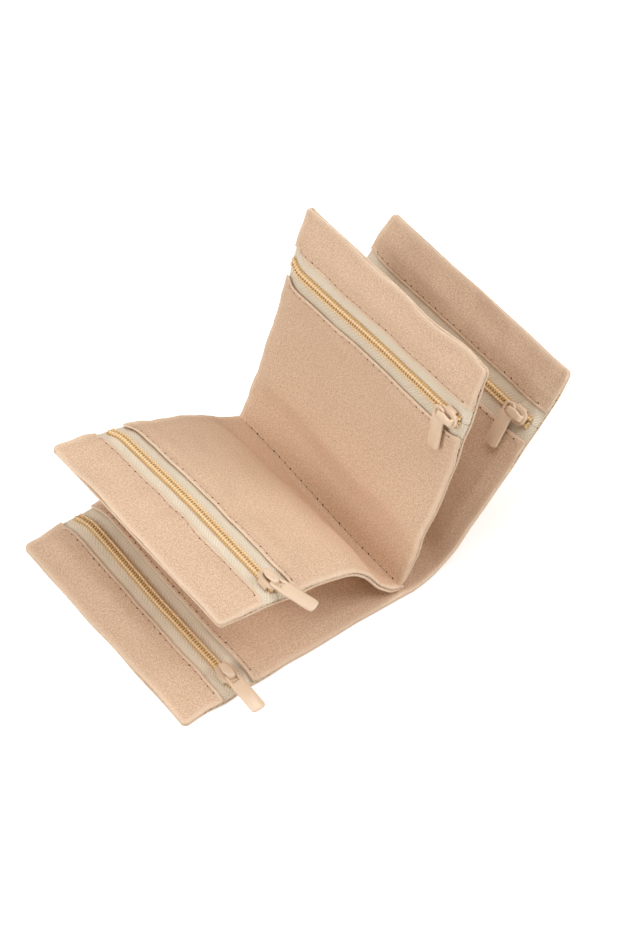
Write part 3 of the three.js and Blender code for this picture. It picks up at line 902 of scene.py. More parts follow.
def make_suede(nap):
    finish = settings("finish")
    made, nodes, shader = material("peach_suede")
    grain = nodes.add("ShaderNodeGroup", node_tree=nap)
    nodes.tree.links.new(cloth_place(nodes), grain.inputs["Place"])
    grain.inputs["Grain"].default_value = 165
    grain.inputs["Patch"].default_value = 5
    patch_share = 0.3
    mottle_share = 0.76
    highlight_share = 0.6
    patch = nodes.mix(grain.outputs["Patches"], opaque(finish.suede), opaque(finish.suede_light))
    patch = nodes.mix(patch_share, opaque(finish.suede), patch)
    mottle = nodes.mix(grain.outputs["Mottle"], opaque(finish.suede_dark), opaque(finish.suede_light))
    toned = nodes.mix(mottle_share, patch, mottle)
    # Painted highlight: the cloth is lightened towards its folded edges, where the rounded lips face the
    # light
    edge = nodes.add("ShaderNodeAttribute", attribute_name=EDGE_HIGHLIGHT).outputs["Fac"]
    toned = nodes.mix(nodes.math("MULTIPLY", edge, highlight_share), toned, opaque(finish.suede_highlight))
    nodes.tree.links.new(toned, shader.inputs["Base Color"])
    shader.inputs["Roughness"].default_value = 0.95
    shader.inputs["Specular IOR Level"].default_value = 0.2
    shader.inputs["Sheen Weight"].default_value = 0.25
    shader.inputs["Sheen Roughness"].default_value = 0.45
    shader.inputs["Sheen Tint"].default_value = opaque(finish.suede_light)
    bump(nodes, shader, grain.outputs["Height"], strength=0.8, distance=0.38 * MM)
    return made


def make_tape(weave):
    finish = settings("finish")
    made, nodes, shader = material("woven_tape")
    ribs = nodes.add("ShaderNodeGroup", node_tree=weave)
    nodes.tree.links.new(cloth_place(nodes), ribs.inputs["Place"])
    ribs.inputs["Stripes"].default_value = 14.3
    ribs.inputs["Ribs"].default_value = 78
    toned = nodes.mix(ribs.outputs["Rib"], opaque(finish.tape_dark), opaque(finish.tape))
    nodes.tree.links.new(toned, shader.inputs["Base Color"])
    shader.inputs["Roughness"].default_value = 0.85
    shader.inputs["Sheen Weight"].default_value = 0.1
    bump(nodes, shader, ribs.outputs["Height"], strength=0.7, distance=0.2 * MM)
    return made


def make_gold(name, rgb, metallic, roughness):
    made, nodes, shader = material(name)
    place = nodes.add("ShaderNodeTexCoord").outputs["Object"]
    tarnish = nodes.add("ShaderNodeTexNoise", {"Vector": place, "Scale": 700, "Detail": 3}).outputs["Fac"]
    toned = nodes.mix(tarnish, shaded(rgb, 0.72), opaque(rgb))
    nodes.tree.links.new(toned, shader.inputs["Base Color"])
    shader.inputs["Metallic"].default_value = metallic
    spread = 0.2
    uneven = nodes.math("MULTIPLY_ADD", tarnish, spread, roughness - spread / 2)
    nodes.tree.links.new(uneven, shader.inputs["Roughness"])
    return made


def make_cord(name, rgb, turn_length):
    """A twisted cord that runs along Y, with painted shade between its turns."""
    made, nodes, shader = material(name)
    place = nodes.add("ShaderNodeTexCoord").outputs["Object"]
    waves_per_unit = 20 / (2 * math.pi)
    waves = {"Vector": place, "Scale": 1 / (turn_length * waves_per_unit), "Distortion": 0.6}
    turns = nodes.add("ShaderNodeTexWave", waves, bands_direction="Y")
    # Painted shade: the cord is darkened between its turns, where its plies dip in
    toned = nodes.mix(turns.outputs["Fac"], shaded(rgb, 0.76, 0.66, 0.5), opaque(rgb))
    nodes.tree.links.new(toned, shader.inputs["Base Color"])
    shader.inputs["Roughness"].default_value = 0.45
    bump(nodes, shader, turns.outputs["Fac"], strength=0.5, distance=0.15 * MM)
    return made


def make_enamel():
    finish = settings("finish")
    made, nodes, shader = material("nude_enamel")
    place = nodes.add("ShaderNodeTexCoord").outputs["Object"]
    cloud = nodes.add("ShaderNodeTexNoise", {"Vector": place, "Scale": 260, "Detail": 3}).outputs["Fac"]
    toned = nodes.mix(cloud, shaded(finish.enamel, 0.93), opaque(finish.enamel))
    nodes.tree.links.new(toned, shader.inputs["Base Color"])
    smoothest = 0.24
    spread = 0.12
    uneven = nodes.math("MULTIPLY_ADD", cloud, spread, smoothest)
    nodes.tree.links.new(uneven, shader.inputs["Roughness"])
    shader.inputs["Coat Weight"].default_value = 0.35
    shader.inputs["Coat Roughness"].default_value = 0.18
    bump(nodes, shader, cloud, strength=0.06, distance=0.1 * MM)
    return made


def make_thread():
    finish = settings("finish")
    made, nodes, shader = material("sewing_thread")
    place = nodes.add("ShaderNodeTexCoord").outputs["Object"]
    waves = {"Vector": place, "Scale": 900, "Distortion": 2}
    twist = nodes.add("ShaderNodeTexWave", waves).outputs["Fac"]
    toned = nodes.mix(twist, shaded(finish.thread, 0.82), opaque(finish.thread))
    nodes.tree.links.new(toned, shader.inputs["Base Color"])
    shader.inputs["Roughness"].default_value = 0.8
    bump(nodes, shader, twist, strength=0.4, distance=0.08 * MM)
    return made


def make_hole_shade():
    finish = settings("finish")
    made, nodes, shader = material("needle_hole")
    place = nodes.add("ShaderNodeTexCoord").outputs["Object"]
    fibre = nodes.add("ShaderNodeTexNoise", {"Vector": place, "Scale": 3000}).outputs["Fac"]
    # Painted shade: the slit is coloured near black for the shade inside the hole
    toned = nodes.mix(fibre, opaque(finish.hole), shaded(finish.hole, 2.2))
    nodes.tree.links.new(toned, shader.inputs["Base Color"])
    shader.inputs["Roughness"].default_value = 1
    shader.inputs["Specular IOR Level"].default_value = 0
    return made


def finishes():
    """All the materials, made once."""
    if "peach_suede" not in bpy.data.materials:
        finish = settings("finish")
        make_suede(nap_effect())
        make_tape(herringbone_effect())
        make_gold("coil_gold", finish.coil, metallic=0.2, roughness=0.36)
        make_cord("strand_gold", finish.strand, settings("zip").pitch / 2)
        make_cord("edge_gold", finish.edge, settings("zip").pitch / 2)
        make_gold("core_cord", finish.core, metallic=0, roughness=0.8)
        make_enamel()
        make_thread()
        make_hole_shade()
    return bpy.data.materials


# Cloth

# Steps of the cloths' grids, the last two close to their folds and edges
BACK_STEP = 1.5 * MM
FRONT_STEP = 1.05 * MM
FOLD_STEP = 0.45 * MM
FOLD_REACH = 5 * MM


def cover_place(leaves):
    """Places on both covers at once, with distances left of the spine negative."""
    left, right = leaves["left_cover"], leaves["right_cover"]

    def place(distance, y, height):
        on_left = (distance < 0)[..., None]
        return np.where(on_left, left.place(-distance, y, height), right.place(distance, y, height))
    return place


def cover_layer(leaves, layer):
    """A height that runs over both covers, and lies flat between their pockets."""
    left, right = leaves["left_cover"], leaves["right_cover"]

    def height(distance, y):
        on_left = getattr(left, layer)(-distance, y)
        return np.where(distance < 0, on_left, getattr(right, layer)(distance, y))
    return height


def plain_reach(leaf, rim):
    return lambda distance: leaf.half - rim - 0 * distance


def corner_reach(leaf, rim):
    return lambda distance: leaf.half - rim - leaf.corner(np.abs(distance))


def back_heights(leaf, rise, hanging_lip):
    """The back cloth's two faces, with a little unevenness, and side lips on a leaf that hangs free."""
    cloth = settings("leaf").cloth

    def low(distance, y):
        reach = 10 * MM
        inside = ramp(leaf.half - np.abs(y), reach) * ramp(leaf.width - np.abs(distance), reach)
        uneven = 0.5 * (1 + ripple(distance, y, size=36 * MM, seed=leaf.seed + 5))
        return rise * uneven * inside - hanging_lip * leaf.lip(y)

    def high(distance, y):
        return low(distance, y) + cloth + hanging_lip * leaf.lip(y)
    return low, high


def declare(nodes):
    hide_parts(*nodes)


def crease_span(leaf, reach):
    """Two points before and after a leaf's crease, between which its cloth turns."""
    ends = leaf.line.at(np.array([leaf.root - reach, leaf.root + reach]))
    return [(float(ends[0][n]), 0, float(ends[1][n])) for n in range(2)]


class ORGANISER_OT_cover_cloth(bpy.types.Operator):
    """Make the outer sheet and the inner cloth that run across both covers"""
    bl_idname = "organiser.cover_cloth"
    bl_label = "Cover cloth"

    def execute(self, context):
        leaves = make_leaves()
        left, right = leaves["left_cover"], leaves["right_cover"]
        leaf = settings("leaf")
        suede = finishes()["peach_suede"]
        rim = leaf.cloth / 2
        place = cover_place(leaves)
        start, end = crease_span(right, reach=10 * MM)
        span = leaf.cover_width - rim
        distances = stations(-span, span, BACK_STEP, [-span, span])
        low, high = back_heights(right, rise=0.3 * MM, hanging_lip=0)
        outer = slab(
            "outer_sheet", place, distances, shares_along(left.half, BACK_STEP),
            corner_reach(right, rim), low, high, suede)
        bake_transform(outer)
        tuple(start)
        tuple(end)
        nodes = ["spine_strip", "left_cover_back_panel", "right_cover_back_panel"]
        declare(nodes)

        edges = (-left.panel_edge + rim, right.panel_edge - rim)
        inner = slab(
            "cover_inner_cloth", place, stations(*edges, 1.4 * MM, edges, FOLD_STEP, FOLD_REACH),
            shares_along(left.half, FRONT_STEP), plain_reach(right, rim),
            cover_layer(leaves, "front_low"), cover_layer(leaves, "front_high"), suede)
        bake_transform(inner)
        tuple(start)
        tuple(end)
        nodes = ["left_cover_front_panel", "right_cover_front_panel"]
        declare(nodes)
        return {"FINISHED"}


class ORGANISER_OT_page_cloth(bpy.types.Operator):
    """Make the back and front cloth of both pages, from the spine outwards"""
    bl_idname = "organiser.page_cloth"
    bl_label = "Page cloth"

    def execute(self, context):
        leaves = make_leaves()
        leaf = settings("leaf")
        suede = finishes()["peach_suede"]
        rim = leaf.cloth / 2
        for side in ("left", "right"):
            page = leaves[f"{side}_page"]
            start, end = crease_span(page, reach=7 * MM)
            root = -leaf.page_tuck
            low, high = back_heights(page, rise=0.4 * MM, hanging_lip=0.8)
            edge = page.width - rim
            back = slab(
                f"{side}_page_back_cloth", page.place, stations(root, edge, BACK_STEP, [root, edge]),
                shares_along(page.half, BACK_STEP), corner_reach(page, rim), low, high, suede)
            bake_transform(back)
            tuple(start)
            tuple(end)
            nodes = [f"{side}_page_back_panel", f"{side}_page_hem"]
            declare(nodes)

            edge = page.panel_edge - rim
            distances = stations(root, edge, 1.3 * MM, [root, edge], FOLD_STEP, FOLD_REACH)
            front = slab(
                f"{side}_page_front_cloth", page.place, distances, shares_along(page.half, FRONT_STEP),
                plain_reach(page, rim), page.front_low, page.front_high, suede)
            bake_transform(front)
            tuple(start)
            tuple(end)
            declare([f"{side}_page_front_panel"])
        return {"FINISHED"}


class ORGANISER_OT_edge_bands(bpy.types.Operator):
    """Make the cloth band between each zip and its leaf's free edge"""
    bl_idname = "organiser.edge_bands"
    bl_label = "Edge bands"

    def execute(self, context):
        leaf = settings("leaf")
        rim = leaf.cloth / 2
        for name, page in make_leaves().items():
            ends = (page.band_edge + rim, page.width - rim)
            band = slab(
                f"{name}_band", page.place, stations(*ends, 1.2 * MM, ends, FOLD_STEP, FOLD_REACH),
                shares_along(page.half, FRONT_STEP), corner_reach(page, rim),
                page.front_low, page.front_high, finishes()["peach_suede"])
            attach(band, name)
            declare([f"{name}_edge_band"])
        return {"FINISHED"}


# Zips

class ORGANISER_OT_zip_tapes(bpy.types.Operator):
    """Make the two woven tapes of each zip"""
    bl_idname = "organiser.zip_tapes"
    bl_label = "Zip tapes"

    def execute(self, context):
        zip_ = settings("zip")
        rim = zip_.tape / 2
        side_inset = 0.2 * MM
        for name, leaf in make_leaves().items():
            for label, side in (("inner", -1), ("outer", 1)):
                meeting = leaf.chain + side * zip_.gap / 2
                ends = sorted([meeting + side * rim, meeting + side * (zip_.tape_width - rim)])
                tape = slab(
                    f"{name}_tape_{label}", leaf.place, stations(*ends, 1.2 * MM),
                    shares_along(leaf.half, BACK_STEP), plain_reach(leaf, rim + side_inset),
                    leaf.tape_low, leaf.tape_high, finishes()["woven_tape"])
                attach(tape, name)
                flat = (zip_.tape_width, settings("leaf").leaf_length)
                declare([f"{name}_zip_tape_{label}"])
        return {"FINISHED"}


def coil_loop():
    """One loop of the coil as a closed wire, with its head towards -X; its path is in millimetres."""
    zip_ = settings("zip")
    path = [
        (1.9, 0.5), (1.7, 1.1), (0.85, 1.65), (0, 1.7),
        (-0.8, 1.5), (-0.7, 0.5), (0.6, 0.4), (1.6, 0.4),
    ]
    slant = 0.3
    upright_at = 0.8
    deselect()
    bpy.ops.curve.primitive_nurbs_circle_add(radius=1)
    ring = bpy.context.object
    ring.data.splines.clear()
    spline = ring.data.splines.new("POLY")
    spline.points.add(len(path) - 1)
    for point, (across, height) in zip(spline.points, path):
        lean = slant * (height - upright_at)
        point.co = (across * MM, lean * MM, height * MM, 1)
    spline.use_cyclic_u = True
    ring.data.bevel_depth = zip_.wire / 2
    ring.data.bevel_resolution = 1
    bpy.ops.object.convert(target="MESH")
    return bpy.context.object


def parted(y):
    """How far each row stands off the chain's middle: nothing where the zip is closed."""
    slider = settings("slider")
    return settings("zip").parting * ramp(slider.place - y, reach=slider.length / 2)


def tube(points, radii):
    """Points and faces of a closed tube along a line of points, with a row of radii at each."""
    sides = radii.shape[1]
    ahead = np.gradient(points, axis=0)
    ahead /= np.linalg.norm(ahead, axis=1, keepdims=True)
    not_along_any_cord = np.array([0.31, 0.17, 0.93])
    across = np.cross(ahead, not_along_any_cord)
    across /= np.linalg.norm(across, axis=1, keepdims=True)
    upward = np.cross(across, ahead)
    rings = []
    for step in range(sides):
        angle = 2 * math.pi * step / sides
        spoke = across * math.cos(angle) + upward * math.sin(angle)
        rings.append(points + spoke * radii[:, step, None])
    spots = np.stack(rings, 1).reshape(-1, 3)
    faces = [list(range(sides))]
    for row in range(len(points) - 1):
        for step in range(sides):
            a, b = row * sides + step, row * sides + (step + 1) % sides
            faces.append([a, a + sides, b + sides, b])
    faces.append([len(spots) - 1 - step for step in range(sides)])
    return spots, faces


def twisted(y, radius, turn_length):
    """Radii round a cord of two twisted plies at each of a row of places along it."""
    sides = 10
    depth = 0.1
    angles = 2 * math.pi * np.arange(sides) / sides
    return radius * (1 + depth * np.cos(2 * angles[None, :] - 2 * math.pi * y[:, None] / turn_length))


class ORGANISER_OT_zip_coils(bpy.types.Operator):
    """Wind the two coil rows of each zip, and lay cords along them"""
    bl_idname = "organiser.zip_coils"
    bl_label = "Zip coils"

    def execute(self, context):
        zip_ = settings("zip")
        slider = settings("slider")
        ring = coil_loop()
        coil_ends = 3.4 * MM
        cord_end = 1.4 * MM
        inside_slider = 0.45
        cord_start = slider.place - inside_slider * slider.length
        rings_per_loop = 12
        cords = {
            "strand": (zip_.strand_place, zip_.strand_height, zip_.strand, "strand_gold"),
            # The filler cord's dark brown paints the shade deep in the groove between the rows
            "core": (zip_.strand_place - zip_.core_inset, zip_.core_height, zip_.core, "core_cord"),
            # The edge cord is a real thread, in a darker gold that paints the shade on the chain's outer
            # flank
            "edge": (zip_.strand_place + zip_.edge_outset, zip_.edge_height, zip_.core, "edge_gold"),
        }
        for name, leaf in make_leaves().items():
            count = int((2 * leaf.half - coil_ends) / zip_.pitch)
            for label, side in (("inner", -1), ("outer", 1)):
                shift = side * zip_.pitch / 4
                frames = []
                for number in range(count):
                    y = (number - (count - 1) / 2) * zip_.pitch + shift
                    distance = leaf.chain + side * parted(y)
                    matrix = leaf_frame(leaf, distance, y, leaf.tape_high(distance, y))
                    matrix[:3, 0] *= side
                    frames.append(matrix)
                row = copies(f"{name}_coil_{label}", ring.data, frames, finishes()["coil_gold"])
                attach(row, name)
                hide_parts(f"{name}_zip_coil_{label}")

                y = np.arange(cord_start, leaf.half - cord_end, zip_.pitch / rings_per_loop)
                for cord, (aside, height, thickness, finish) in cords.items():
                    distance = leaf.chain + side * (aside + parted(y))
                    line = leaf.place(distance, y, leaf.tape_high(distance, y) + height)
                    points, faces = tube(line, twisted(y, thickness / 2, zip_.pitch / 2))
                    piece = new_piece(f"{name}_coil_{cord}_{label}", points, faces, finishes()[finish])
                    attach(piece, name)
        bpy.data.objects.remove(ring)
        return {"FINISHED"}


# Stitching

def stitch_shape():
    """One stitch along Y: a short thread that dives into the cloth at both ends."""
    stitch = settings("stitch")
    sides = 6
    y = np.array([-0.45, -0.36, -0.18, 0.18, 0.36, 0.45]) * stitch.pitch
    height = np.array([-0.5, -0.04, 0.08, 0.08, -0.04, -0.5]) * MM
    line = np.stack([0 * y, y, height], -1)
    return tube(line, np.full((len(y), sides), stitch.thread / 2))


def hole_shape():
    """A needle hole: a shallow slit of painted shade lying on the cloth, a little out of its row."""
    stitch = settings("stitch")
    sides = 8
    rise = 0.06 * MM
    depth = 0.3 * MM
    slimness = 0.62
    angles = 2 * math.pi * np.arange(sides) / sides
    across = slimness * stitch.hole / 2 * np.cos(angles)
    along = stitch.hole / 2 * np.sin(angles)
    cos, sin = math.cos(stitch.slant), math.sin(stitch.slant)
    ring = np.stack([across * cos + along * sin, along * cos - across * sin, 0 * angles], -1)
    points = np.concatenate([[[0, 0, rise]], ring, [[0, 0, -depth]]])
    faces = []
    for step in range(sides):
        after = (step + 1) % sides
        faces.append([0, 1 + step, 1 + after])
        faces.append([sides + 1, 1 + after, 1 + step])
    return points, faces


def needle_holes(name, frames):
    """A row of needle holes as one piece, some smaller than others."""
    points, faces = hole_shape()
    smallest = 0.5
    draw = np.random.default_rng(len(frames))
    for matrix in frames:
        matrix[:3, :2] *= draw.uniform(smallest, 1)
    dimple = bpy.data.meshes.new("hole")
    dimple.from_pydata(points.tolist(), [], faces)
    row = copies(name, dimple, frames, finishes()["needle_hole"])
    bpy.data.meshes.remove(dimple)
    return row


def stitch_row(name, leaf, distance, body, node):
    """A row of stitches along a leaf, with a needle hole at each end of every stitch, as one piece."""
    pitch = settings("stitch").pitch
    count = leaf.stitch_count()
    hole_lift = 0.07 * MM
    threads = []
    holes = []
    for number in range(-count, count + 1):
        y = number * pitch / 2
        height = leaf.front_high(distance, y)
        if number % 2:
            threads.append(leaf_frame(leaf, distance, y, height))
        else:
            holes.append(leaf_frame(leaf, distance, y, height + hole_lift))
    points, faces = stitch_shape()
    shape = bpy.data.meshes.new("stitch")
    shape.from_pydata(points.tolist(), [], faces)
    row = copies(name, shape, threads, finishes()["sewing_thread"])
    bpy.data.meshes.remove(shape)
    join([row, needle_holes(f"{name}_holes", holes)], name)
    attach(row, body)
    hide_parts(node)


def seam_row(name, leaf, start):
    """The holes of the seam that shows in the groove along both sides of a leaf."""
    stitch = settings("stitch")
    middle = (settings("leaf").cloth + settings("leaf").pocket_floor) / 2
    end_gap = 4 * MM
    depth = 0.3 * MM
    hole_width = 0.4
    hole_length = 0.9
    frames = []
    for side in (-1, 1):
        for distance in np.arange(start, leaf.width - end_gap, stitch.seam_pitch):
            level = leaf_frame(leaf, distance, side * (leaf.half - depth), middle)
            turned = level.copy()
            turned[:3, 0] = hole_width * level[:3, 2]
            turned[:3, 1] = hole_length * level[:3, 0]
            turned[:3, 2] = side * level[:3, 1]
            frames.append(turned)
    row = needle_holes(f"{name}_seam_stitching", frames)
    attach(row, name)


class ORGANISER_OT_stitching(bpy.types.Operator):
    """Sew the rows beside the zips, along the leaves' sides and along the spine"""
    bl_idname = "organiser.stitching"
    bl_label = "Stitching"

    def execute(self, context):
        leaves = make_leaves()
        page_gap = 5 * MM
        seam_place = 0.7 * MM
        for name, leaf in leaves.items():
            for label, distance in leaf.stitch_rows().items():
                node = f"{name}_topstitch_{label}"
                stitch_row(f"{name}_stitching_{label}", leaf, distance, name, node)
            seam_row(name, leaf, 2 * leaf.root if "cover" in name else leaf.root + page_gap)
        stitch_row("spine_stitching", leaves["right_page"], seam_place, "left_hem", "spine_stitch")
        return {"FINISHED"}


# Sliders and pull tabs

# Bevels round only the edges that turn by more than this angle
SHARP_EDGES = dict(limit_method="ANGLE", angle_limit=math.radians(40))


def slider_plate(low, thickness):
    slider = settings("slider")
    front_round = 0.44 * slider.front_width
    plate = block((slider.back_width, slider.length, thickness), (0, 0, low + thickness / 2))
    widen(plate, lambda point: point.y < 0, slider.front_width / slider.back_width)
    round_edges(plate, lambda a, b: upright(a, b, front=True), radius=front_round, steps=8)
    round_edges(plate, lambda a, b: upright(a, b, front=False), radius=1.2 * MM, steps=4)
    return plate


def slider_bridge():
    """The tongue over the plate, widest in its middle, with a window for the tab's eye."""
    slider = settings("slider")
    top = slider.plate_low + slider.plate
    window = slider.bridge_window
    high = window + slider.bridge_bar
    sunk = 0.4 * MM
    whole = slider.bridge_length + 2 * slider.bridge_nose
    end = 0.45 * whole
    right_through = 3 * slider.bridge_width

    def roof_end(a, b):
        return min(a.z, b.z) > top and min(abs(a.y), abs(b.y)) > end and abs(a.x - b.x) > MM

    def side_edge(a, b):
        over_plate = max(a.z, b.z) > top + 0.5 * MM
        return a.x * b.x > 0 and over_plate and max(abs(a.y), abs(b.y)) > 0.1 * MM

    def window_edge(a, b):
        return min(a.z, b.z) > top + MM and abs(a.x - b.x) > MM

    bridge = block((slider.bridge_width, whole, high + sunk), (0, 0, top + (high - sunk) / 2))
    slice_at(bridge, (0, 0, 0), (0, 1, 0))
    widen(bridge, lambda point: abs(point.y) > end, slider.bridge_end / slider.bridge_width)
    round_edges(bridge, roof_end, radius=1.9 * MM, steps=5)
    round_edges(bridge, side_edge, radius=0.7 * MM, steps=3)
    inner = slider.bridge_length - 2 * slider.bridge_bar
    tool = block((right_through, inner, window), (0, 0, top + window / 2))
    round_edges(tool, window_edge, radius=0.7 * MM, steps=4)
    cut(bridge, tool)
    under = window + 2 * sunk
    for side in (-1, 1):
        middle = (0, side * (slider.bridge_length / 2 + slider.bridge_nose), top - 2 * sunk + under / 2)
        cut(bridge, block((right_through, 2 * slider.bridge_nose, under), middle))
    return bridge


def make_slider():
    slider = settings("slider")
    upper = slider_plate(slider.plate_low, slider.plate)
    lower = slider_plate(slider.lower_low, slider.lower_plate)
    sunk = 0.4 * MM
    aside = (settings("zip").coil_room + slider.rail) / 2
    rail_size = (slider.rail, slider.rail_length, slider.rail_drop + sunk)
    rail_middle = slider.plate_low - slider.rail_drop / 2 + sunk / 2
    rails = [block(rail_size, (side * aside, 0, rail_middle)) for side in (-1, 1)]
    post_length = 3 * MM
    post_high = slider.plate_low - slider.lower_low
    post_middle = (0, -slider.length / 2 + post_length, slider.lower_low + post_high / 2)
    post = block((slider.post, post_length, post_high), post_middle)
    whole = join([upper, lower, *rails, post, slider_bridge()], "slider_shape")
    apply_modifier(whole, "BEVEL", width=0.32 * MM, segments=3, **SHARP_EDGES)
    bpy.ops.object.shade_smooth_by_angle(angle=math.radians(45))
    return whole


def thin_eye(tab, top):
    """Tapers the tab from its shoulder to the end of its eye."""
    slider = settings("slider")
    thick = slider.tab + slider.tab_crown
    for vertex in tab.data.vertices:
        share = ramp(vertex.co.y - top, reach=slider.shoulder, start=-slider.shoulder)
        vertex.co.z *= 1 - (1 - slider.eye / thick) * share


def make_tab():
    """The pull tab along -Y, with its eye's hole about the origin and a face that crowns across."""
    slider = settings("slider")
    top = slider.eye_length / 2 + slider.eye_bar
    thin = slider.tab - slider.tab_crown

    def eye_corner(a, b):
        return upright(a, b, front=False) and a.y > top - MM

    def free_corner(a, b):
        return upright(a, b, front=True) and a.y < top - slider.tab_length + MM

    tab = block((slider.tab_width, slider.tab_length, thin), (0, top - slider.tab_length / 2, 0))
    slice_at(tab, (0, top - slider.shoulder, 0), (0, 1, 0))
    widen(tab, lambda point: point.y > top - MM, slider.eye_width / slider.tab_width)
    round_edges(tab, eye_corner, radius=1.9 * MM, steps=6)
    round_edges(tab, free_corner, radius=1.4 * MM, steps=5)
    tool = block((slider.eye_hole, slider.eye_length, 4 * slider.tab), (0, 0, 0))
    round_edges(tool, lambda a, b: upright(a, b, front=False), radius=1.3 * MM, steps=5)
    cut(tab, tool)
    half = slider.tab_width / 2
    close = 0.01 * MM
    for share in (-0.7, -0.35, 0, 0.35, 0.7):
        row = share * half
        slice_at(tab, (row, 0, 0), (1, 0, 0))
        rise = slider.tab_crown * (1 - share ** 2)
        lift(tab, lambda point: abs(point.x - row) < close and point.z > 0, rise)
        lift(tab, lambda point: abs(point.x - row) < close and point.z < 0, -rise)
    thin_eye(tab, top)
    apply_modifier(tab, "BEVEL", width=0.42 * MM, segments=3, **SHARP_EDGES)
    bpy.ops.object.shade_smooth_by_angle(angle=math.radians(40))
    return tab


def tab_frame(leaf):
    """Where a leaf's pull tab lies: its eye round a leg of the bridge, turned and drooping."""
    slider = settings("slider")
    leg = (slider.bridge_length - slider.bridge_bar) / 2
    reach = slider.bridge_bar / 2 + slider.leg_clearance + slider.eye_bar / 2 if leaf.lifts else 0
    droop = slider.lift_droop if leaf.lifts else slider.swing_droop
    turned = Matrix.Translation((0, reach / 2 - leg if leaf.lifts else leg, slider.tab_height))
    turned = turned @ Matrix.Rotation(-leaf.line.side * leaf.yaw, 4, "Z")
    hinge = Matrix.Translation((0, reach / 2, 0)) @ Matrix.Rotation(droop, 4, "X")
    back = -(slider.eye_length + slider.eye_bar) / 2 if leaf.lifts else 0
    return leaf.seat() @ turned @ hinge @ Matrix.Translation((0, back, 0))


def hang_copies(shape, suffix, body_suffix, node_suffix, frame_of):
    """A copy of a metal piece on every leaf, each with its own mesh."""
    for name, leaf in make_leaves().items():
        mesh = shape.data.copy()
        mesh.transform(frame_of(leaf))
        mesh.materials.clear()
        mesh.materials.append(finishes()["nude_enamel"])
        piece = bpy.data.objects.new(f"{name}_{suffix}", mesh)
        bpy.context.scene.collection.objects.link(piece)
        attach(piece, f"{name}_{body_suffix}")
        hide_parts(f"{name}_{node_suffix}")
    bpy.data.objects.remove(shape)


class ORGANISER_OT_sliders(bpy.types.Operator):
    """Model the zip slider and set a copy on every leaf"""
    bl_idname = "organiser.sliders"
    bl_label = "Sliders"

    def execute(self, context):
        hang_copies(make_slider(), "zip_slider", "slider", "slider", lambda leaf: leaf.seat())
        return {"FINISHED"}


class ORGANISER_OT_pull_tabs(bpy.types.Operator):
    """Model the pull tab and hang a copy on every slider"""
    bl_idname = "organiser.pull_tabs"
    bl_label = "Pull tabs"

    def execute(self, context):
        hang_copies(make_tab(), "zip_pull", "pull", "pull_tab", tab_frame)
        return {"FINISHED"}


# Stage

# Where each lamp stands and how wide it is, in metres
LAMPS = {
    "top": ((0.05, 0.1, 1.35), 1.1),
    "side": ((-1.0, 0.2, 0.75), 0.8),
    "front": ((0.8, -0.8, 0.95), 0.9),
    "near": ((-0.25, -1.25, 0.5), 0.8),
}


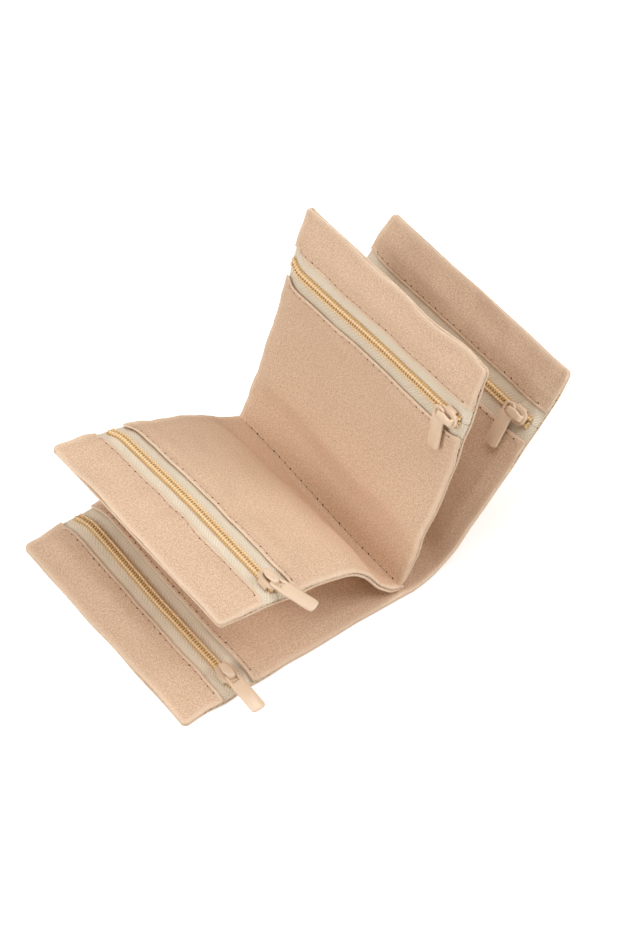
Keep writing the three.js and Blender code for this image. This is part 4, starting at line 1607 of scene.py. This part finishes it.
class ORGANISER_OT_stage(bpy.types.Operator):
    """Set the white floor, the soft light and the camera"""
    bl_idname = "organiser.stage"
    bl_label = "Stage"

    def execute(self, context):
        stage = settings("stage")
        scene = context.scene
        scene.view_settings.view_transform = "Standard"
        self.add_camera(stage, scene)
        self.add_floor(stage)
        self.add_world(stage, scene)
        for name, (place, size) in LAMPS.items():
            self.add_lamp(f"{name}_lamp", place, size, getattr(stage, name))
        return {"FINISHED"}

    def add_camera(self, stage, scene):
        a, e = stage.azimuth, stage.elevation
        back = Vector((math.sin(a) * math.cos(e), -math.cos(a) * math.cos(e), math.sin(e)))
        right = Vector((math.cos(a), math.sin(a), 0))
        up = back.cross(right)
        camera = bpy.data.objects.new("camera", bpy.data.cameras.new("camera"))
        camera.data.sensor_width = 36
        camera.data.lens = stage.lens
        camera.data.clip_start = 0.05
        camera.data.clip_end = 20
        place = right * stage.aside + up * stage.above + back * stage.distance
        basis = Matrix((right, up, back)).transposed().to_4x4()
        camera.matrix_world = Matrix.Translation(place) @ basis
        scene.collection.objects.link(camera)
        scene.camera = camera

    def add_floor(self, stage):
        clearance = 0.2 * MM
        deselect()
        bpy.ops.mesh.primitive_plane_add(size=stage.floor, location=(0, 0, -clearance))
        floor = bpy.context.object
        floor.name = "floor"
        bpy.ops.object.transform_apply(location=True, rotation=True, scale=True)
        made, nodes, shader = material("floor")
        shader.inputs["Base Color"].default_value = (0.9, 0.9, 0.9, 1)
        shader.inputs["Roughness"].default_value = 0.9
        rays = nodes.add("ShaderNodeLightPath").outputs
        seen = nodes.math("MAXIMUM", rays["Is Camera Ray"], rays["Is Glossy Ray"])
        shader.inputs["Emission Color"].default_value = (1, 1, 1, 1)
        glow = nodes.math("MULTIPLY", seen, stage.glow)
        nodes.tree.links.new(glow, shader.inputs["Emission Strength"])
        floor.data.materials.append(made)

    def add_world(self, stage, scene):
        world = bpy.data.worlds.new("studio")
        world.use_nodes = True
        nodes = Nodes(world.node_tree)
        background = world.node_tree.nodes["Background"]
        rays = nodes.add("ShaderNodeLightPath").outputs
        seen = nodes.math("MAXIMUM", rays["Is Camera Ray"], rays["Is Transmission Ray"])
        strength = nodes.math("MULTIPLY_ADD", seen, 1 - stage.world, stage.world)
        warm = nodes.mix(seen, opaque(stage.warmth), (1, 1, 1, 1))
        world.node_tree.links.new(warm, background.inputs["Color"])
        world.node_tree.links.new(strength, background.inputs["Strength"])
        scene.world = world

    def add_lamp(self, name, place, size, power):
        lamp = bpy.data.objects.new(name, bpy.data.lights.new(name, "AREA"))
        lamp.data.shape = "DISK"
        lamp.data.size = size
        lamp.data.energy = power
        lamp.location = place
        lamp.rotation_euler = (-Vector(place)).to_track_quat("-Z", "Y").to_euler()
        bpy.context.scene.collection.objects.link(lamp)


OPERATORS = [
    ORGANISER_OT_cover_cloth,
    ORGANISER_OT_page_cloth,
    ORGANISER_OT_edge_bands,
    ORGANISER_OT_zip_tapes,
    ORGANISER_OT_zip_coils,
    ORGANISER_OT_stitching,
    ORGANISER_OT_sliders,
    ORGANISER_OT_pull_tabs,
    ORGANISER_OT_stage,
]


class ORGANISER_PT_sidebar(bpy.types.Panel):
    """Lists the organiser's pieces and sizes"""
    bl_idname = "ORGANISER_PT_sidebar"
    bl_label = "Organiser"
    bl_space_type = "VIEW_3D"
    bl_region_type = "UI"
    bl_category = "Organiser"

    def draw(self, context):
        for operator in OPERATORS:
            self.layout.operator(operator.bl_idname)
        for name, group in GROUPS.items():
            box = self.layout.box()
            box.label(text=group.__doc__)
            for key in group.__annotations__:
                box.prop(getattr(context.scene, name), key)


def register():
    for kind in [*GROUPS.values(), *OPERATORS, ORGANISER_PT_sidebar]:
        bpy.utils.register_class(kind)
    for name, group in GROUPS.items():
        setattr(bpy.types.Scene, name, bpy.props.PointerProperty(type=group))


def unregister():
    for name in GROUPS:
        delattr(bpy.types.Scene, name)
    for kind in [ORGANISER_PT_sidebar, *reversed(OPERATORS), *reversed(GROUPS.values())]:
        bpy.utils.unregister_class(kind)


def main():
    register()
    bpy.ops.organiser.cover_cloth()
    bpy.ops.organiser.page_cloth()
    bpy.ops.organiser.edge_bands()
    bpy.ops.organiser.zip_tapes()
    bpy.ops.organiser.zip_coils()
    bpy.ops.organiser.stitching()
    bpy.ops.organiser.sliders()
    bpy.ops.organiser.pull_tabs()
    bpy.ops.organiser.stage()


if __name__ == "__main__":
    main()
